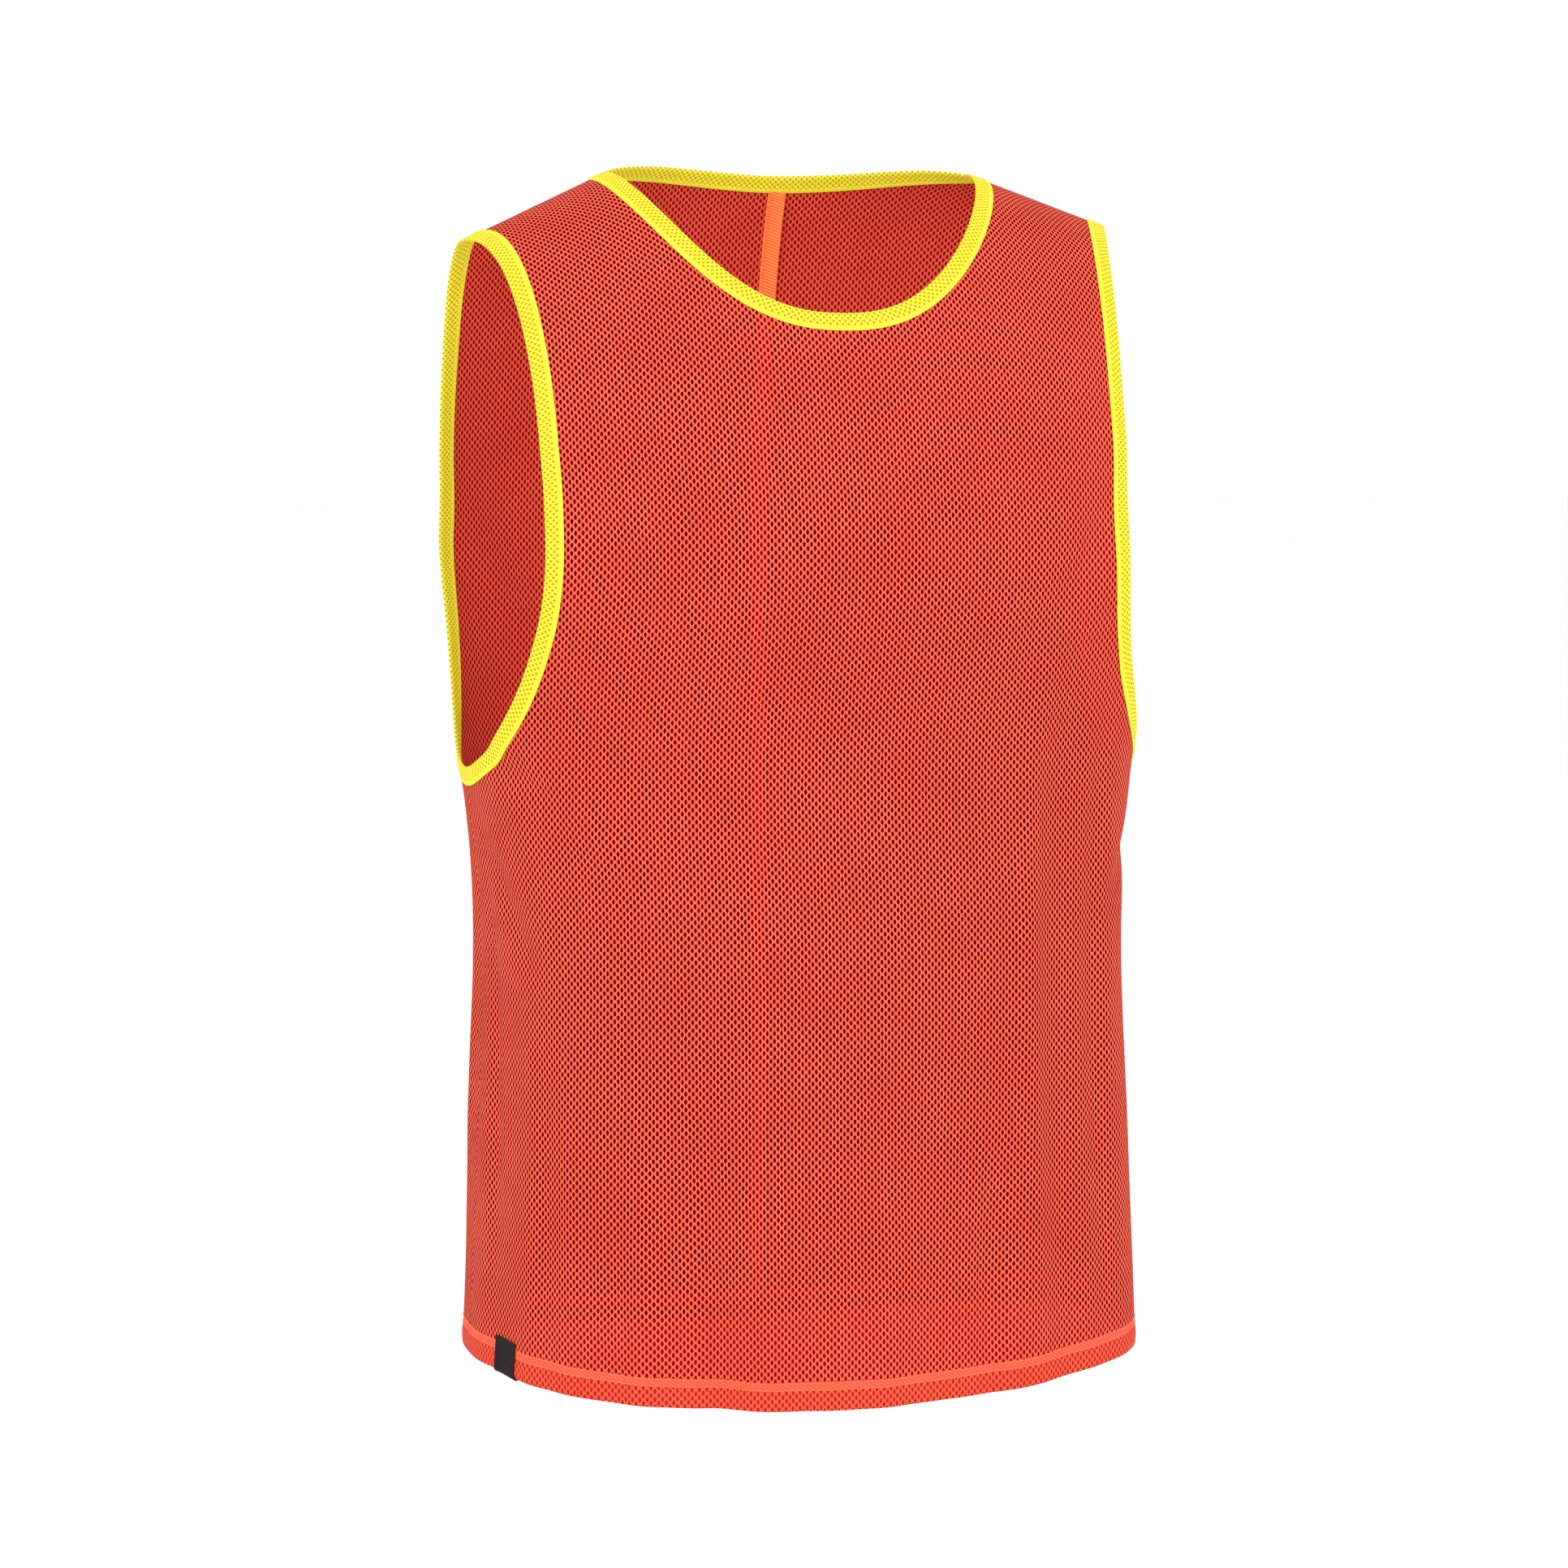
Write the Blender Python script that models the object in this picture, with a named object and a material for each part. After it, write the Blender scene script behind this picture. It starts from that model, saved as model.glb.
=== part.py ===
"""Training bib: a sleeveless mesh vest held open as it is worn, front towards -Y, in metres.

Every piece is laid out on one worn surface. A place on it is a side (FRONT or BACK), "across", from
0 at the centre line to 1 at the side seam, negative on the -X half, and "level", the height above
the hem, which bends over the shoulder and ends at TOP_LEVEL on the shoulder seam.
"""

from math import pi

import bmesh
import bpy
import numpy as np

FRONT, BACK = -1, 1

# Cloth
WALL = 0.0012  # one layer of the body mesh
SEAM_GAP = 0.0003  # between pieces that are sewn together
BINDING_WIDTH = 0.011
BINDING_PROUD = 0.0006  # past the body's wall, outside and inside
BINDING_NOSE = 0.0012  # the rounded fold at the opening's edge
SEAM_ALLOWANCE = 0.009
HEM_HEIGHT = 0.015

# Body, heights above the hem's lowest point
NECK_POINT_HEIGHT = 0.700
SHOULDER_LINE_Y = 0.019
SHOULDER_LINE_LEAN = -0.04  # towards the front, for each metre out along the shoulder
SHOULDER_SLOPE = 0.413
SHOULDER_TILT = 0.053  # more slope at the -X shoulder, less at the +X one
SHOULDER_TURN_HEIGHT = 0.435  # where the walls start to lean in to the shoulder line
SECTION_POWER = 2.66  # 2 is an ellipse, more is squarer
SIDE_RISE = 0.0145  # of the hem at the side seams

# level, half width, front depth, back depth of the body's cross-sections
BODY_SECTIONS = np.array([
    (0.00, 0.198, 0.1360, 0.128),
    (0.14, 0.191, 0.1345, 0.120),
    (0.27, 0.188, 0.1340, 0.116),
    (0.36, 0.197, 0.1270, 0.116),
    (0.50, 0.224, 0.1530, 0.119),
])

# Neck opening: half width, and for each side the turn at its centre and two powers of its curve
NECK_HALF_WIDTH = 0.1076
NECK_CURVE = {FRONT: (0.691, 2.35, 1.89), BACK: (1.172, 1.90, 1.41)}

# Armhole: for each side its least across, the level of it, and the power of the rise above it
ARM_FOOT = 0.358
ARM_TIP_HALF_WIDTH = 0.1936
ARM_CURVE = {FRONT: (0.553, 0.500, 2.3), BACK: (0.679, 0.490, 2.3)}

# Soft folds: place round the body from the centre front in quarters, level of the lower and upper
# end, depth (outwards is positive) and half breadth
FOLDS = np.array([
    (-1.78, -0.30, 0.40, -0.0030, 0.030),
    (-1.50, -0.30, 0.52, 0.0040, 0.034),
    (-1.30, -0.30, 0.36, -0.0030, 0.022),
    (-0.80, -0.30, 0.42, -0.0045, 0.024),
    (-0.60, -0.22, 0.36, 0.0025, 0.030),
    (-0.27, -0.25, 0.26, -0.0035, 0.024),
    (-0.05, -0.30, 0.32, 0.0030, 0.034),
    (0.22, -0.28, 0.26, -0.0030, 0.028),
    (0.50, -0.30, 0.62, -0.0045, 0.022),
    (0.74, -0.26, 0.50, 0.0050, 0.045),
    (1.20, -0.30, 0.46, 0.0035, 0.030),
    (1.42, -0.30, 0.34, -0.0040, 0.026),
    (1.70, -0.30, 0.50, 0.0030, 0.034),
])

# Hem tab: a woven strip folded round the front hem
TAB_ACROSS = (-0.825, -0.735)
TAB_HEIGHT = 0.020
TAB_WALL = 0.0010

# Facets
ACROSS_STEPS = (0, 0.035, 0.10, 0.17, 0.24, 0.315, 0.39, 0.465, 0.54, 0.615, 0.675, 0.735, 0.78,
                0.825, 0.91, 1)
NECK_STEPS = 10
ROWS_BELOW_ARM = 19
ROWS_BESIDE_ARM = 22
FOOT_ROW_SAG = 0.06  # how far the row of facets from the armholes' feet sags at the centre
DENSE = 400

COLOURS = {
    "body": (0.90, 0.07, 0.035),
    "seam": (0.95, 0.20, 0.06),
    "binding": (0.88, 0.90, 0.06),
    "tab": (0.03, 0.02, 0.02),
}

SHOULDER_RISE = NECK_POINT_HEIGHT - SHOULDER_TURN_HEIGHT
TOP_LEVEL = SHOULDER_TURN_HEIGHT + SHOULDER_RISE * pi / 2


def quarter_section():
    """Unit half width and depth along a quarter of the cross-section, by share of its length."""
    angle = np.linspace(0, pi / 2, 10 * DENSE + 1)
    wide = np.sin(angle) ** (2 / SECTION_POWER)
    deep = np.cos(angle) ** (2 / SECTION_POWER)
    depth_to_width = BODY_SECTIONS[1, 2] / BODY_SECTIONS[1, 1]
    steps = np.hypot(np.diff(wide), np.diff(deep) * depth_to_width)
    run = np.concatenate([[0], np.cumsum(steps)])
    return run / run[-1], wide, deep, run[-1] * BODY_SECTIONS[1, 1]


SHARE, WIDE, DEEP, QUARTER_LENGTH = quarter_section()


def section_size(column, level):
    """Smooth curve through one column of BODY_SECTIONS, level at its upper end."""
    levels, values = BODY_SECTIONS[:, 0], BODY_SECTIONS[:, column]
    slopes = np.gradient(values, levels)
    slopes[-1] = 0
    level = np.clip(level, levels[0], levels[-1])
    row = np.clip(np.searchsorted(levels, level, side="right") - 1, 0, len(levels) - 2)
    span = levels[row + 1] - levels[row]
    t = (level - levels[row]) / span
    start = (2 * t**3 - 3 * t**2 + 1) * values[row] + (t**3 - 2 * t**2 + t) * span * slopes[row]
    end = (3 * t**2 - 2 * t**3) * values[row + 1] + (t**3 - t**2) * span * slopes[row + 1]
    return start + end


def fold_depth(side, across, level):
    """How far the folds move the cloth outwards here."""
    around = across if side == FRONT else np.where(across < 0, -2 - across, 2 - across)
    total = 0
    for place, low, high, depth, breadth in FOLDS:
        apart = (around - place + 2) % 4 - 2
        along = np.sin(pi * np.clip((level - low) / (high - low), 0, 1)) ** 2
        total = total + depth * along * np.exp(-((apart * QUARTER_LENGTH / breadth) ** 2))
    return total


def shoulder_line(x):
    """Y and height of the shoulder line, which rounds over the neck opening between its ends."""
    part = x / NECK_HALF_WIDTH
    slope = SHOULDER_SLOPE - SHOULDER_TILT * np.clip(part, -1, 1)
    run = np.where(np.abs(part) > 1, np.abs(part) - 1, (part**2 - 1) / 2) * NECK_HALF_WIDTH
    return SHOULDER_LINE_Y + SHOULDER_LINE_LEAN * run, NECK_POINT_HEIGHT - slope * run


def worn(side, across, level):
    """Points of the cloth's outer face."""
    half_width = section_size(1, level)
    depth = section_size(2 if side == FRONT else 3, level)
    wide = np.interp(np.abs(across), SHARE, WIDE) * np.sign(across)
    deep = np.interp(np.abs(across), SHARE, DEEP) * side
    out = fold_depth(side, across, level)
    x = wide * (half_width + out)
    line_y, line_height = shoulder_line(x)
    turn = np.clip((level - SHOULDER_TURN_HEIGHT) / SHOULDER_RISE, 0, pi / 2)
    leaning = SHOULDER_TURN_HEIGHT + (line_height - SHOULDER_TURN_HEIGHT) * np.sin(turn)
    height = np.where(level < SHOULDER_TURN_HEIGHT, level, leaning)
    y = line_y * (1 - np.cos(turn)) + deep * (depth + out) * np.cos(turn)
    return np.stack(np.broadcast_arrays(x, y - SHOULDER_LINE_Y, height - NECK_POINT_HEIGHT), -1)


def slopes_at(side, across, level):
    """How the point moves with across and with level."""
    step = 1e-4
    high, low = np.minimum(across + step, 1), np.maximum(across - step, -1)
    by_across = (worn(side, high, level) - worn(side, low, level)) / (high - low)[..., None]
    high, low = np.minimum(level + step, TOP_LEVEL), level - step
    by_level = (worn(side, across, high) - worn(side, across, low)) / (high - low)[..., None]
    return by_across, by_level


def outward(side, across, level):
    """Unit normals of the worn surface."""
    by_across, by_level = slopes_at(side, across, level)
    normal = np.cross(by_across, by_level) * -side
    return normal / np.linalg.norm(normal, axis=-1, keepdims=True)


def moved_out(side, across, level, distance):
    """Points at a distance outside the worn surface, or inside it if negative."""
    across, level = np.broadcast_arrays(np.asarray(across, float), np.asarray(level, float))
    return worn(side, across, level) + outward(side, across, level) * distance


def inset(side, across, level, distance):
    """An edge that ends on the shoulder line, moved to the left of its way along the cloth."""
    by_across, by_level = slopes_at(side, across, level)
    tangent = np.gradient(worn(side, across, level), axis=0)
    direction = np.cross(np.cross(by_across, by_level), tangent)
    direction *= distance / np.linalg.norm(direction, axis=-1, keepdims=True)
    aa, bb = (by_across**2).sum(-1), (by_level**2).sum(-1)
    ab = (by_across * by_level).sum(-1)
    pa, pb = (direction * by_across).sum(-1), (direction * by_level).sum(-1)
    scale = aa * bb - ab**2
    new_across = across + (pa * bb - pb * ab) / scale
    new_level = level + (pb * aa - pa * ab) / scale
    new_across[-1] = across[-1] - distance / np.sqrt(aa[-1])
    new_level[-1] = TOP_LEVEL
    return new_across, new_level


def even_places(side, across, level, start, count):
    """Indices along a dense edge that part its length from start on into equal steps."""
    points = worn(side, across, level)
    run = np.concatenate([[0], np.cumsum(np.linalg.norm(np.diff(points, axis=0), axis=1))])
    return np.interp(np.linspace(start, run[-1], count + 1), run, np.arange(len(run)))


def neck_edge(side, distance):
    """Half the neck, from the centre to the shoulder seam, set in from the opening's edge."""
    turn_at_centre, power, roundness = NECK_CURVE[side]
    wide = np.sin(np.linspace(0, pi / 2, DENSE))
    fall = np.clip(1 - wide**power, 0, 1) ** (1 / roundness)
    turn = pi / 2 - (pi / 2 - turn_at_centre) * fall
    level = SHOULDER_TURN_HEIGHT + SHOULDER_RISE * turn
    x = NECK_HALF_WIDTH * wide
    across = np.interp(x / section_size(1, level), WIDE, SHARE)
    place = np.insert(even_places(side, across, level, SEAM_ALLOWANCE, NECK_STEPS - 1), 0, 0)
    if distance:
        across, level = inset(side, across, level, -distance)
    across[0] = 0
    index = np.arange(DENSE)
    return np.interp(place, index, across), np.minimum(np.interp(place, index, level), TOP_LEVEL)


def arm_edge(side, distance):
    """One armhole edge, from the side seam up to the shoulder seam, set in from the opening."""
    least, least_level, power = ARM_CURVE[side]
    level = ARM_FOOT + (TOP_LEVEL - ARM_FOOT) * np.linspace(0, 1, DENSE) ** 3
    below = np.clip((level - ARM_FOOT) / (least_level - ARM_FOOT), 0, 1)
    above = np.clip((level - least_level) / (TOP_LEVEL - least_level), 0, 1)
    tip = np.interp(ARM_TIP_HALF_WIDTH / section_size(1, TOP_LEVEL), WIDE, SHARE)
    across = 1 - (1 - least) * np.sqrt(1 - (1 - below) ** 2) + (tip - least) * above**power
    place = even_places(side, across, level, 0, ROWS_BESIDE_ARM)
    if distance:
        across, level = inset(side, across, level, distance)
        across[0], level[0] = 1, ARM_FOOT - distance
    index = np.arange(DENSE)
    across, level = np.interp(place, index, across), np.interp(place, index, level)
    return np.minimum(across, 1), np.minimum(level, TOP_LEVEL)


def panel_grid(side):
    """Places of one half of a body panel: rows from hem to top, columns from centre to side."""
    edge_distance = BINDING_WIDTH + SEAM_GAP
    neck_across, neck_level = neck_edge(side, edge_distance)
    arm_across, arm_level = arm_edge(side, edge_distance)
    columns = np.array(ACROSS_STEPS, float)
    shoulder_columns = len(columns) - NECK_STEPS - 1
    shoulder = np.linspace(neck_across[-1], arm_across[-1], shoulder_columns + 1)[1:]
    top_across = np.concatenate([neck_across, shoulder])
    top_level = np.concatenate([neck_level, np.full(shoulder_columns, TOP_LEVEL)])
    hem = SIDE_RISE * np.interp(columns, SHARE, WIDE) ** 2
    folded = hem + HEM_HEIGHT
    foot = arm_level[0] - FOOT_ROW_SAG * (1 - columns**2)
    rows = [(columns, hem)]
    for share in np.linspace(0, 1, ROWS_BELOW_ARM):
        rows.append((columns, folded + share * (foot - folded)))
    narrow = np.minimum.accumulate(arm_across)
    flare = arm_across - narrow
    top_shift = top_across - columns * narrow[-1] - columns**8 * flare[-1]
    side_share = (arm_level - foot[-1]) / (TOP_LEVEL - foot[-1])
    even_share = np.linspace(0, 1, ROWS_BESIDE_ARM + 1)
    for row in range(1, ROWS_BESIDE_ARM + 1):
        share = even_share[row] + (side_share[row] - even_share[row]) * columns**3
        across = columns * narrow[row] + columns**8 * flare[row] + top_shift * share**1.5
        rows.append((across, foot + share * (top_level - foot)))
    across = np.array([row[0] for row in rows])
    level = np.array([row[1] for row in rows])
    return keep_seams_apart(side, across, level)


def keep_seams_apart(side, across, level):
    """Hold the side seam and shoulder seam edges half a gap short of their lines."""
    least_reach = 0.11 if side == FRONT else 0.06
    level = np.minimum(level, TOP_LEVEL - SEAM_GAP / 2 / least_reach * SHOULDER_RISE)
    across = np.minimum(across, 1 - SEAM_GAP / 2 / QUARTER_LENGTH)
    return across, level


def both_halves(across, level):
    """Mirror a half grid to -X and join the halves at the centre column."""
    return (np.hstack([-across[:, :0:-1], across]), np.hstack([level[:, :0:-1], level]))


def one_half(across, level, x_side):
    """One half grid, its centre edge held half a gap from the centre line."""
    across = np.maximum(across, SEAM_GAP / 2 / QUARTER_LENGTH)
    if x_side < 0:
        return -across[:, ::-1], level[:, ::-1]
    return across, level


def material(name, colour, roughness=0.75):
    """Plain cloth finish."""
    made = bpy.data.materials.new(name)
    made.use_nodes = True
    shader = made.node_tree.nodes["Principled BSDF"]
    shader.inputs["Base Color"].default_value = (*colour, 1)
    shader.inputs["Roughness"].default_value = roughness
    shader.inputs["Metallic"].default_value = 0.0
    return made


def add_object(name, vertices, faces, colour, collection):
    """Mesh object with its own material."""
    mesh = bpy.data.meshes.new(name)
    mesh.from_pydata([tuple(point) for point in vertices], [], faces)
    mesh.materials.append(material(name + "_cloth", COLOURS[colour]))
    made = bpy.data.objects.new(name, mesh)
    collection.objects.link(made)
    mesh.shade_smooth()
    mesh.set_sharp_from_angle(angle=0.9)
    return made


def wall_faces(rows, columns):
    """Faces of a wall between two grids of points, the outer grid's points first."""
    outer = np.arange(rows * columns).reshape(rows, columns)
    inner = outer + rows * columns
    quads = []
    for grid in (outer, inner[:, ::-1]):
        corners = (grid[:-1, :-1], grid[:-1, 1:], grid[1:, 1:], grid[1:, :-1])
        quads.append(np.stack(corners, -1).reshape(-1, 4))
    rim = [(outer[0], inner[0]), (outer[:, -1], inner[:, -1]),
           (outer[-1, ::-1], inner[-1, ::-1]), (outer[::-1, 0], inner[::-1, 0])]
    for edge, lining in rim:
        quads.append(np.stack((lining[:-1], lining[1:], edge[1:], edge[:-1]), -1))
    return np.concatenate(quads)


def add_layer(name, side, across, level, distance, colour, collection):
    """A wall of cloth over a grid of places, its outer face at a distance from the surface."""
    outer = moved_out(side, across, level, distance).reshape(-1, 3)
    inner = moved_out(side, across, level, distance - WALL).reshape(-1, 3)
    faces = wall_faces(*across.shape)
    if side == BACK:
        faces = faces[:, ::-1]
    return add_object(name, np.concatenate([outer, inner]), faces.tolist(), colour, collection)


def add_ring(name, sections, colour, collection):
    """A closed band through closed sections, the last joined to the first."""
    count, size = sections.shape[:2]
    faces = []
    for section in range(count):
        after = (section + 1) % count
        for corner in range(size):
            beside = (corner + 1) % size
            faces.append((section * size + corner, after * size + corner,
                          after * size + beside, section * size + beside))
    made = add_object(name, sections.reshape(-1, 3), faces, colour, collection)
    made.data.update()
    shape = bmesh.new()
    shape.from_mesh(made.data)
    bmesh.ops.recalc_face_normals(shape, faces=shape.faces)
    if shape.calc_volume(signed=True) < 0:
        bmesh.ops.reverse_faces(shape, faces=shape.faces)
    shape.to_mesh(made.data)
    shape.free()
    return made


def binding_sections(edge, side, x_side):
    """Sections of a folded binding along one stretch of edge, as an array of closed outlines."""
    outer, inner = BINDING_PROUD, -WALL - BINDING_PROUD
    outline = [(BINDING_WIDTH, outer), (BINDING_WIDTH / 2, outer), (BINDING_NOSE, outer),
               (0, (outer + inner) / 2),
               (BINDING_NOSE, inner), (BINDING_WIDTH / 2, inner), (BINDING_WIDTH, inner)]
    corners = []
    for distance, depth in outline:
        across, level = edge(side, distance)
        corners.append(moved_out(side, x_side * across, level, depth))
    return np.stack(corners, axis=1)


def add_neck_binding(collection):
    """Front centre, +X shoulder, back centre, -X shoulder and home."""
    front_left, front_right = (binding_sections(neck_edge, FRONT, sign) for sign in (1, -1))
    back_left, back_right = (binding_sections(neck_edge, BACK, sign) for sign in (1, -1))
    loop = np.concatenate([front_left[:-1], back_left[:0:-1], back_right[:-1], front_right[:0:-1]])
    return add_ring("neck_binding", loop, "binding", collection)


def add_arm_binding(name, x_side, collection):
    """From the side seam up the front, over the shoulder and down the back."""
    front = binding_sections(arm_edge, FRONT, x_side)
    back = binding_sections(arm_edge, BACK, x_side)
    return add_ring(name, np.concatenate([front[:-1], back[:0:-1]]), "binding", collection)


def add_hem_tab(across, level, collection):
    """A strip up the front, round the hem's edge and up inside, on the panel's own facets."""
    reach = 1e-6
    within = (across[0] > TAB_ACROSS[0] - reach) & (across[0] < TAB_ACROSS[1] + reach)
    inner_face = -2 * WALL - 2 * SEAM_GAP
    below = -SEAM_GAP
    outline = [(SEAM_GAP, TAB_HEIGHT), (SEAM_GAP, below), (inner_face, below),
               (inner_face, HEM_HEIGHT - 0.001), (inner_face - TAB_WALL, HEM_HEIGHT - 0.001),
               (inner_face - TAB_WALL, below - TAB_WALL), (SEAM_GAP + TAB_WALL, below - TAB_WALL),
               (SEAM_GAP + TAB_WALL, TAB_HEIGHT)]
    sections = []
    for column in np.flatnonzero(within):
        start = moved_out(FRONT, across[0, column], level[0, column], 0)
        up = moved_out(FRONT, across[1, column], level[1, column], 0) - start
        up /= np.linalg.norm(up)
        out = outward(FRONT, across[:1, column], level[:1, column])[0]
        sections.append([start + out * depth + up * height for depth, height in outline])
    size = len(outline)
    last = (len(sections) - 1) * size
    faces = [tuple(range(size)), tuple(range(last + size - 1, last - 1, -1))]
    for first in range(0, last, size):
        for corner in range(size):
            beside = (corner + 1) % size
            faces.append((first + corner, first + size + corner, first + size + beside,
                          first + beside))
    made = add_object("hem_tab", np.concatenate(sections), faces, "tab", collection)
    shape = bmesh.new()
    shape.from_mesh(made.data)
    bmesh.ops.triangulate(shape, faces=shape.faces)
    bmesh.ops.recalc_face_normals(shape, faces=shape.faces)
    shape.to_mesh(made.data)
    shape.free()
    return made


def build():
    """All the pieces of the bib, each its own object."""
    for old in list(bpy.data.objects):
        bpy.data.objects.remove(old)
    collection = bpy.data.collections.new("training_bib")
    bpy.context.scene.collection.children.link(collection)

    lining = -WALL - SEAM_GAP
    front_half = panel_grid(FRONT)
    front = both_halves(*front_half)
    add_layer("front", FRONT, *front, 0, "body", collection)
    add_layer("hem_front", FRONT, front[0][:2], front[1][:2], lining, "body", collection)

    back_half = panel_grid(BACK)
    for name, x_side in (("left", 1), ("right", -1)):
        across, level = one_half(*back_half, x_side)
        add_layer("back_" + name, BACK, across, level, 0, "body", collection)
        add_layer("hem_back_" + name, BACK, across[:2], level[:2], lining, "body", collection)

    across, level = one_half(*back_half, 1)
    strip_across, strip_level = across[1:, :2], level[1:, :2].copy()
    strip_level[0] += SEAM_GAP
    add_layer("back_seam", BACK, strip_across, strip_level, lining, "seam", collection)

    add_neck_binding(collection)
    add_arm_binding("arm_binding_left", 1, collection)
    add_arm_binding("arm_binding_right", -1, collection)
    add_hem_tab(*front, collection)


build()
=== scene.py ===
"""Looks of the training bib: mesh panels, folded bindings, hem, seams, stitches and tab, in metres.

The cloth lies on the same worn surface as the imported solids. A place on it is a side (FRONT or
BACK), "across", from 0 at the centre line to 1 at the side seam, negative on the -X half, and
"level", the height above the hem, which bends over the shoulder and ends at TOP_LEVEL.
"""

from math import cos, pi, radians, sin

import bmesh
import bpy
import numpy as np
from mathutils import Matrix, Vector


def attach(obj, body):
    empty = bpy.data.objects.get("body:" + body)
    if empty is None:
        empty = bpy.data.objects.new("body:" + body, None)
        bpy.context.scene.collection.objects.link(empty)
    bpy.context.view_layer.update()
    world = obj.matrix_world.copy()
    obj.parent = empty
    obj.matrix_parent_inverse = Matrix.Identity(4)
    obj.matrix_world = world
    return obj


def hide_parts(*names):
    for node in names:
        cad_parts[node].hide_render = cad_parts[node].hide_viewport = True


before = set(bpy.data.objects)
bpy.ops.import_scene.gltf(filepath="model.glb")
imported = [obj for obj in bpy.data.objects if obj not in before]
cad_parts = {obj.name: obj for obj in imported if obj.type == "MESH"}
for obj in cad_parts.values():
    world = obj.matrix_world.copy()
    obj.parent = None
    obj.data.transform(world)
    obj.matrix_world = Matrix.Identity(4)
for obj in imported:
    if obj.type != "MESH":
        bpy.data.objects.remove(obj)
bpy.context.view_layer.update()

FRONT, BACK = -1, 1

# Worn surface, the same sizes as the solids
WALL = 0.0012
SEAM_GAP = 0.0003
BINDING_WIDTH = 0.011
SEAM_ALLOWANCE = 0.0088
NECK_POINT_HEIGHT = 0.700
SHOULDER_LINE_Y = 0.019
SHOULDER_LINE_LEAN = -0.04
SHOULDER_SLOPE = 0.413
SHOULDER_TILT = 0.053
SHOULDER_TURN_HEIGHT = 0.435
SECTION_POWER = 2.66
SIDE_RISE = 0.0145

# level, half width, front depth, back depth of the body's cross-sections
BODY_SECTIONS = np.array([
    (0.00, 0.198, 0.1360, 0.128),
    (0.14, 0.191, 0.1345, 0.120),
    (0.27, 0.188, 0.1340, 0.116),
    (0.36, 0.197, 0.1270, 0.116),
    (0.50, 0.224, 0.1530, 0.119),
])

# Neck opening: half width, and for each side the turn at its centre and two powers of its curve
NECK_HALF_WIDTH = 0.1076
NECK_CURVE = {FRONT: (0.691, 2.35, 1.89), BACK: (1.172, 1.90, 1.41)}

# Armhole: for each side its least across, the level of it, and the power of the rise above it
ARM_FOOT = 0.358
ARM_TIP_HALF_WIDTH = 0.1936
ARM_CURVE = {FRONT: (0.553, 0.500, 2.3), BACK: (0.679, 0.490, 2.3)}

# Soft folds: place round the body from the centre front in quarters, level of the lower and upper
# end, depth (outwards is positive) and half breadth
FOLDS = np.array([
    (-1.78, -0.30, 0.40, -0.0030, 0.030),
    (-1.50, -0.30, 0.52, 0.0040, 0.034),
    (-1.30, -0.30, 0.36, -0.0030, 0.022),
    (-0.80, -0.30, 0.42, -0.0045, 0.024),
    (-0.60, -0.22, 0.36, 0.0025, 0.030),
    (-0.27, -0.25, 0.26, -0.0035, 0.024),
    (-0.05, -0.30, 0.32, 0.0030, 0.034),
    (0.22, -0.28, 0.26, -0.0030, 0.028),
    (0.50, -0.30, 0.62, -0.0045, 0.022),
    (0.74, -0.26, 0.50, 0.0050, 0.045),
    (1.20, -0.30, 0.46, 0.0035, 0.030),
    (1.42, -0.30, 0.34, -0.0040, 0.026),
    (1.70, -0.30, 0.50, 0.0030, 0.034),
])

# Finer creases: place and level of one end, place and level of the other, depth
# and half breadth
CREASES = np.array([
    (-0.93, 0.355, -0.84, 0.010, -0.0042, 0.009),
    (-0.98, 0.350, -0.66, 0.230, -0.0036, 0.010),
    (-0.90, 0.380, -0.50, 0.330, -0.0030, 0.010),
    (-0.70, 0.370, -0.42, 0.300, 0.0024, 0.012),
    (-0.55, 0.560, -0.30, 0.400, -0.0030, 0.014),
    (-0.50, 0.620, -0.12, 0.480, 0.0021, 0.016),
    (-0.68, 0.240, -0.62, -0.060, -0.0033, 0.010),
    (-0.46, 0.200, -0.42, -0.080, 0.0030, 0.011),
    (-0.33, 0.190, -0.26, -0.060, -0.0039, 0.009),
    (-0.15, 0.150, -0.20, -0.060, 0.0030, 0.012),
    (-0.06, 0.180, -0.10, -0.060, -0.0027, 0.010),
    (0.10, 0.130, 0.06, -0.060, 0.0027, 0.011),
    (0.33, 0.170, 0.30, -0.060, -0.0033, 0.011),
    (0.58, 0.560, 0.32, 0.400, -0.0027, 0.014),
    (0.40, 0.500, 0.44, -0.060, 0.0033, 0.010),
    (0.60, 0.460, 0.62, -0.060, -0.0033, 0.009),
    (0.84, 0.400, 0.82, -0.060, -0.0027, 0.010),
    (0.95, 0.355, 0.60, 0.260, -0.0030, 0.010),
    (1.04, 0.350, 1.10, 0.050, 0.0033, 0.010),
    (1.08, 0.350, 1.42, 0.200, -0.0033, 0.010),
    (1.30, 0.560, 1.58, 0.380, -0.0027, 0.015),
    (1.52, 0.260, 1.50, -0.060, 0.0030, 0.011),
    (1.62, 0.200, 1.58, -0.060, -0.0033, 0.010),
    (1.86, 0.160, 1.90, -0.060, 0.0027, 0.012),
    (-1.04, 0.350, -1.12, 0.040, 0.0033, 0.010),
    (-1.10, 0.350, -1.44, 0.210, -0.0033, 0.010),
    (-1.32, 0.560, -1.58, 0.390, -0.0027, 0.015),
    (-1.60, 0.210, -1.64, -0.060, -0.0033, 0.010),
    (-1.72, 0.280, -1.74, -0.060, 0.0027, 0.012),
    (-1.90, 0.150, -1.94, -0.060, -0.0027, 0.011),
])

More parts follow.
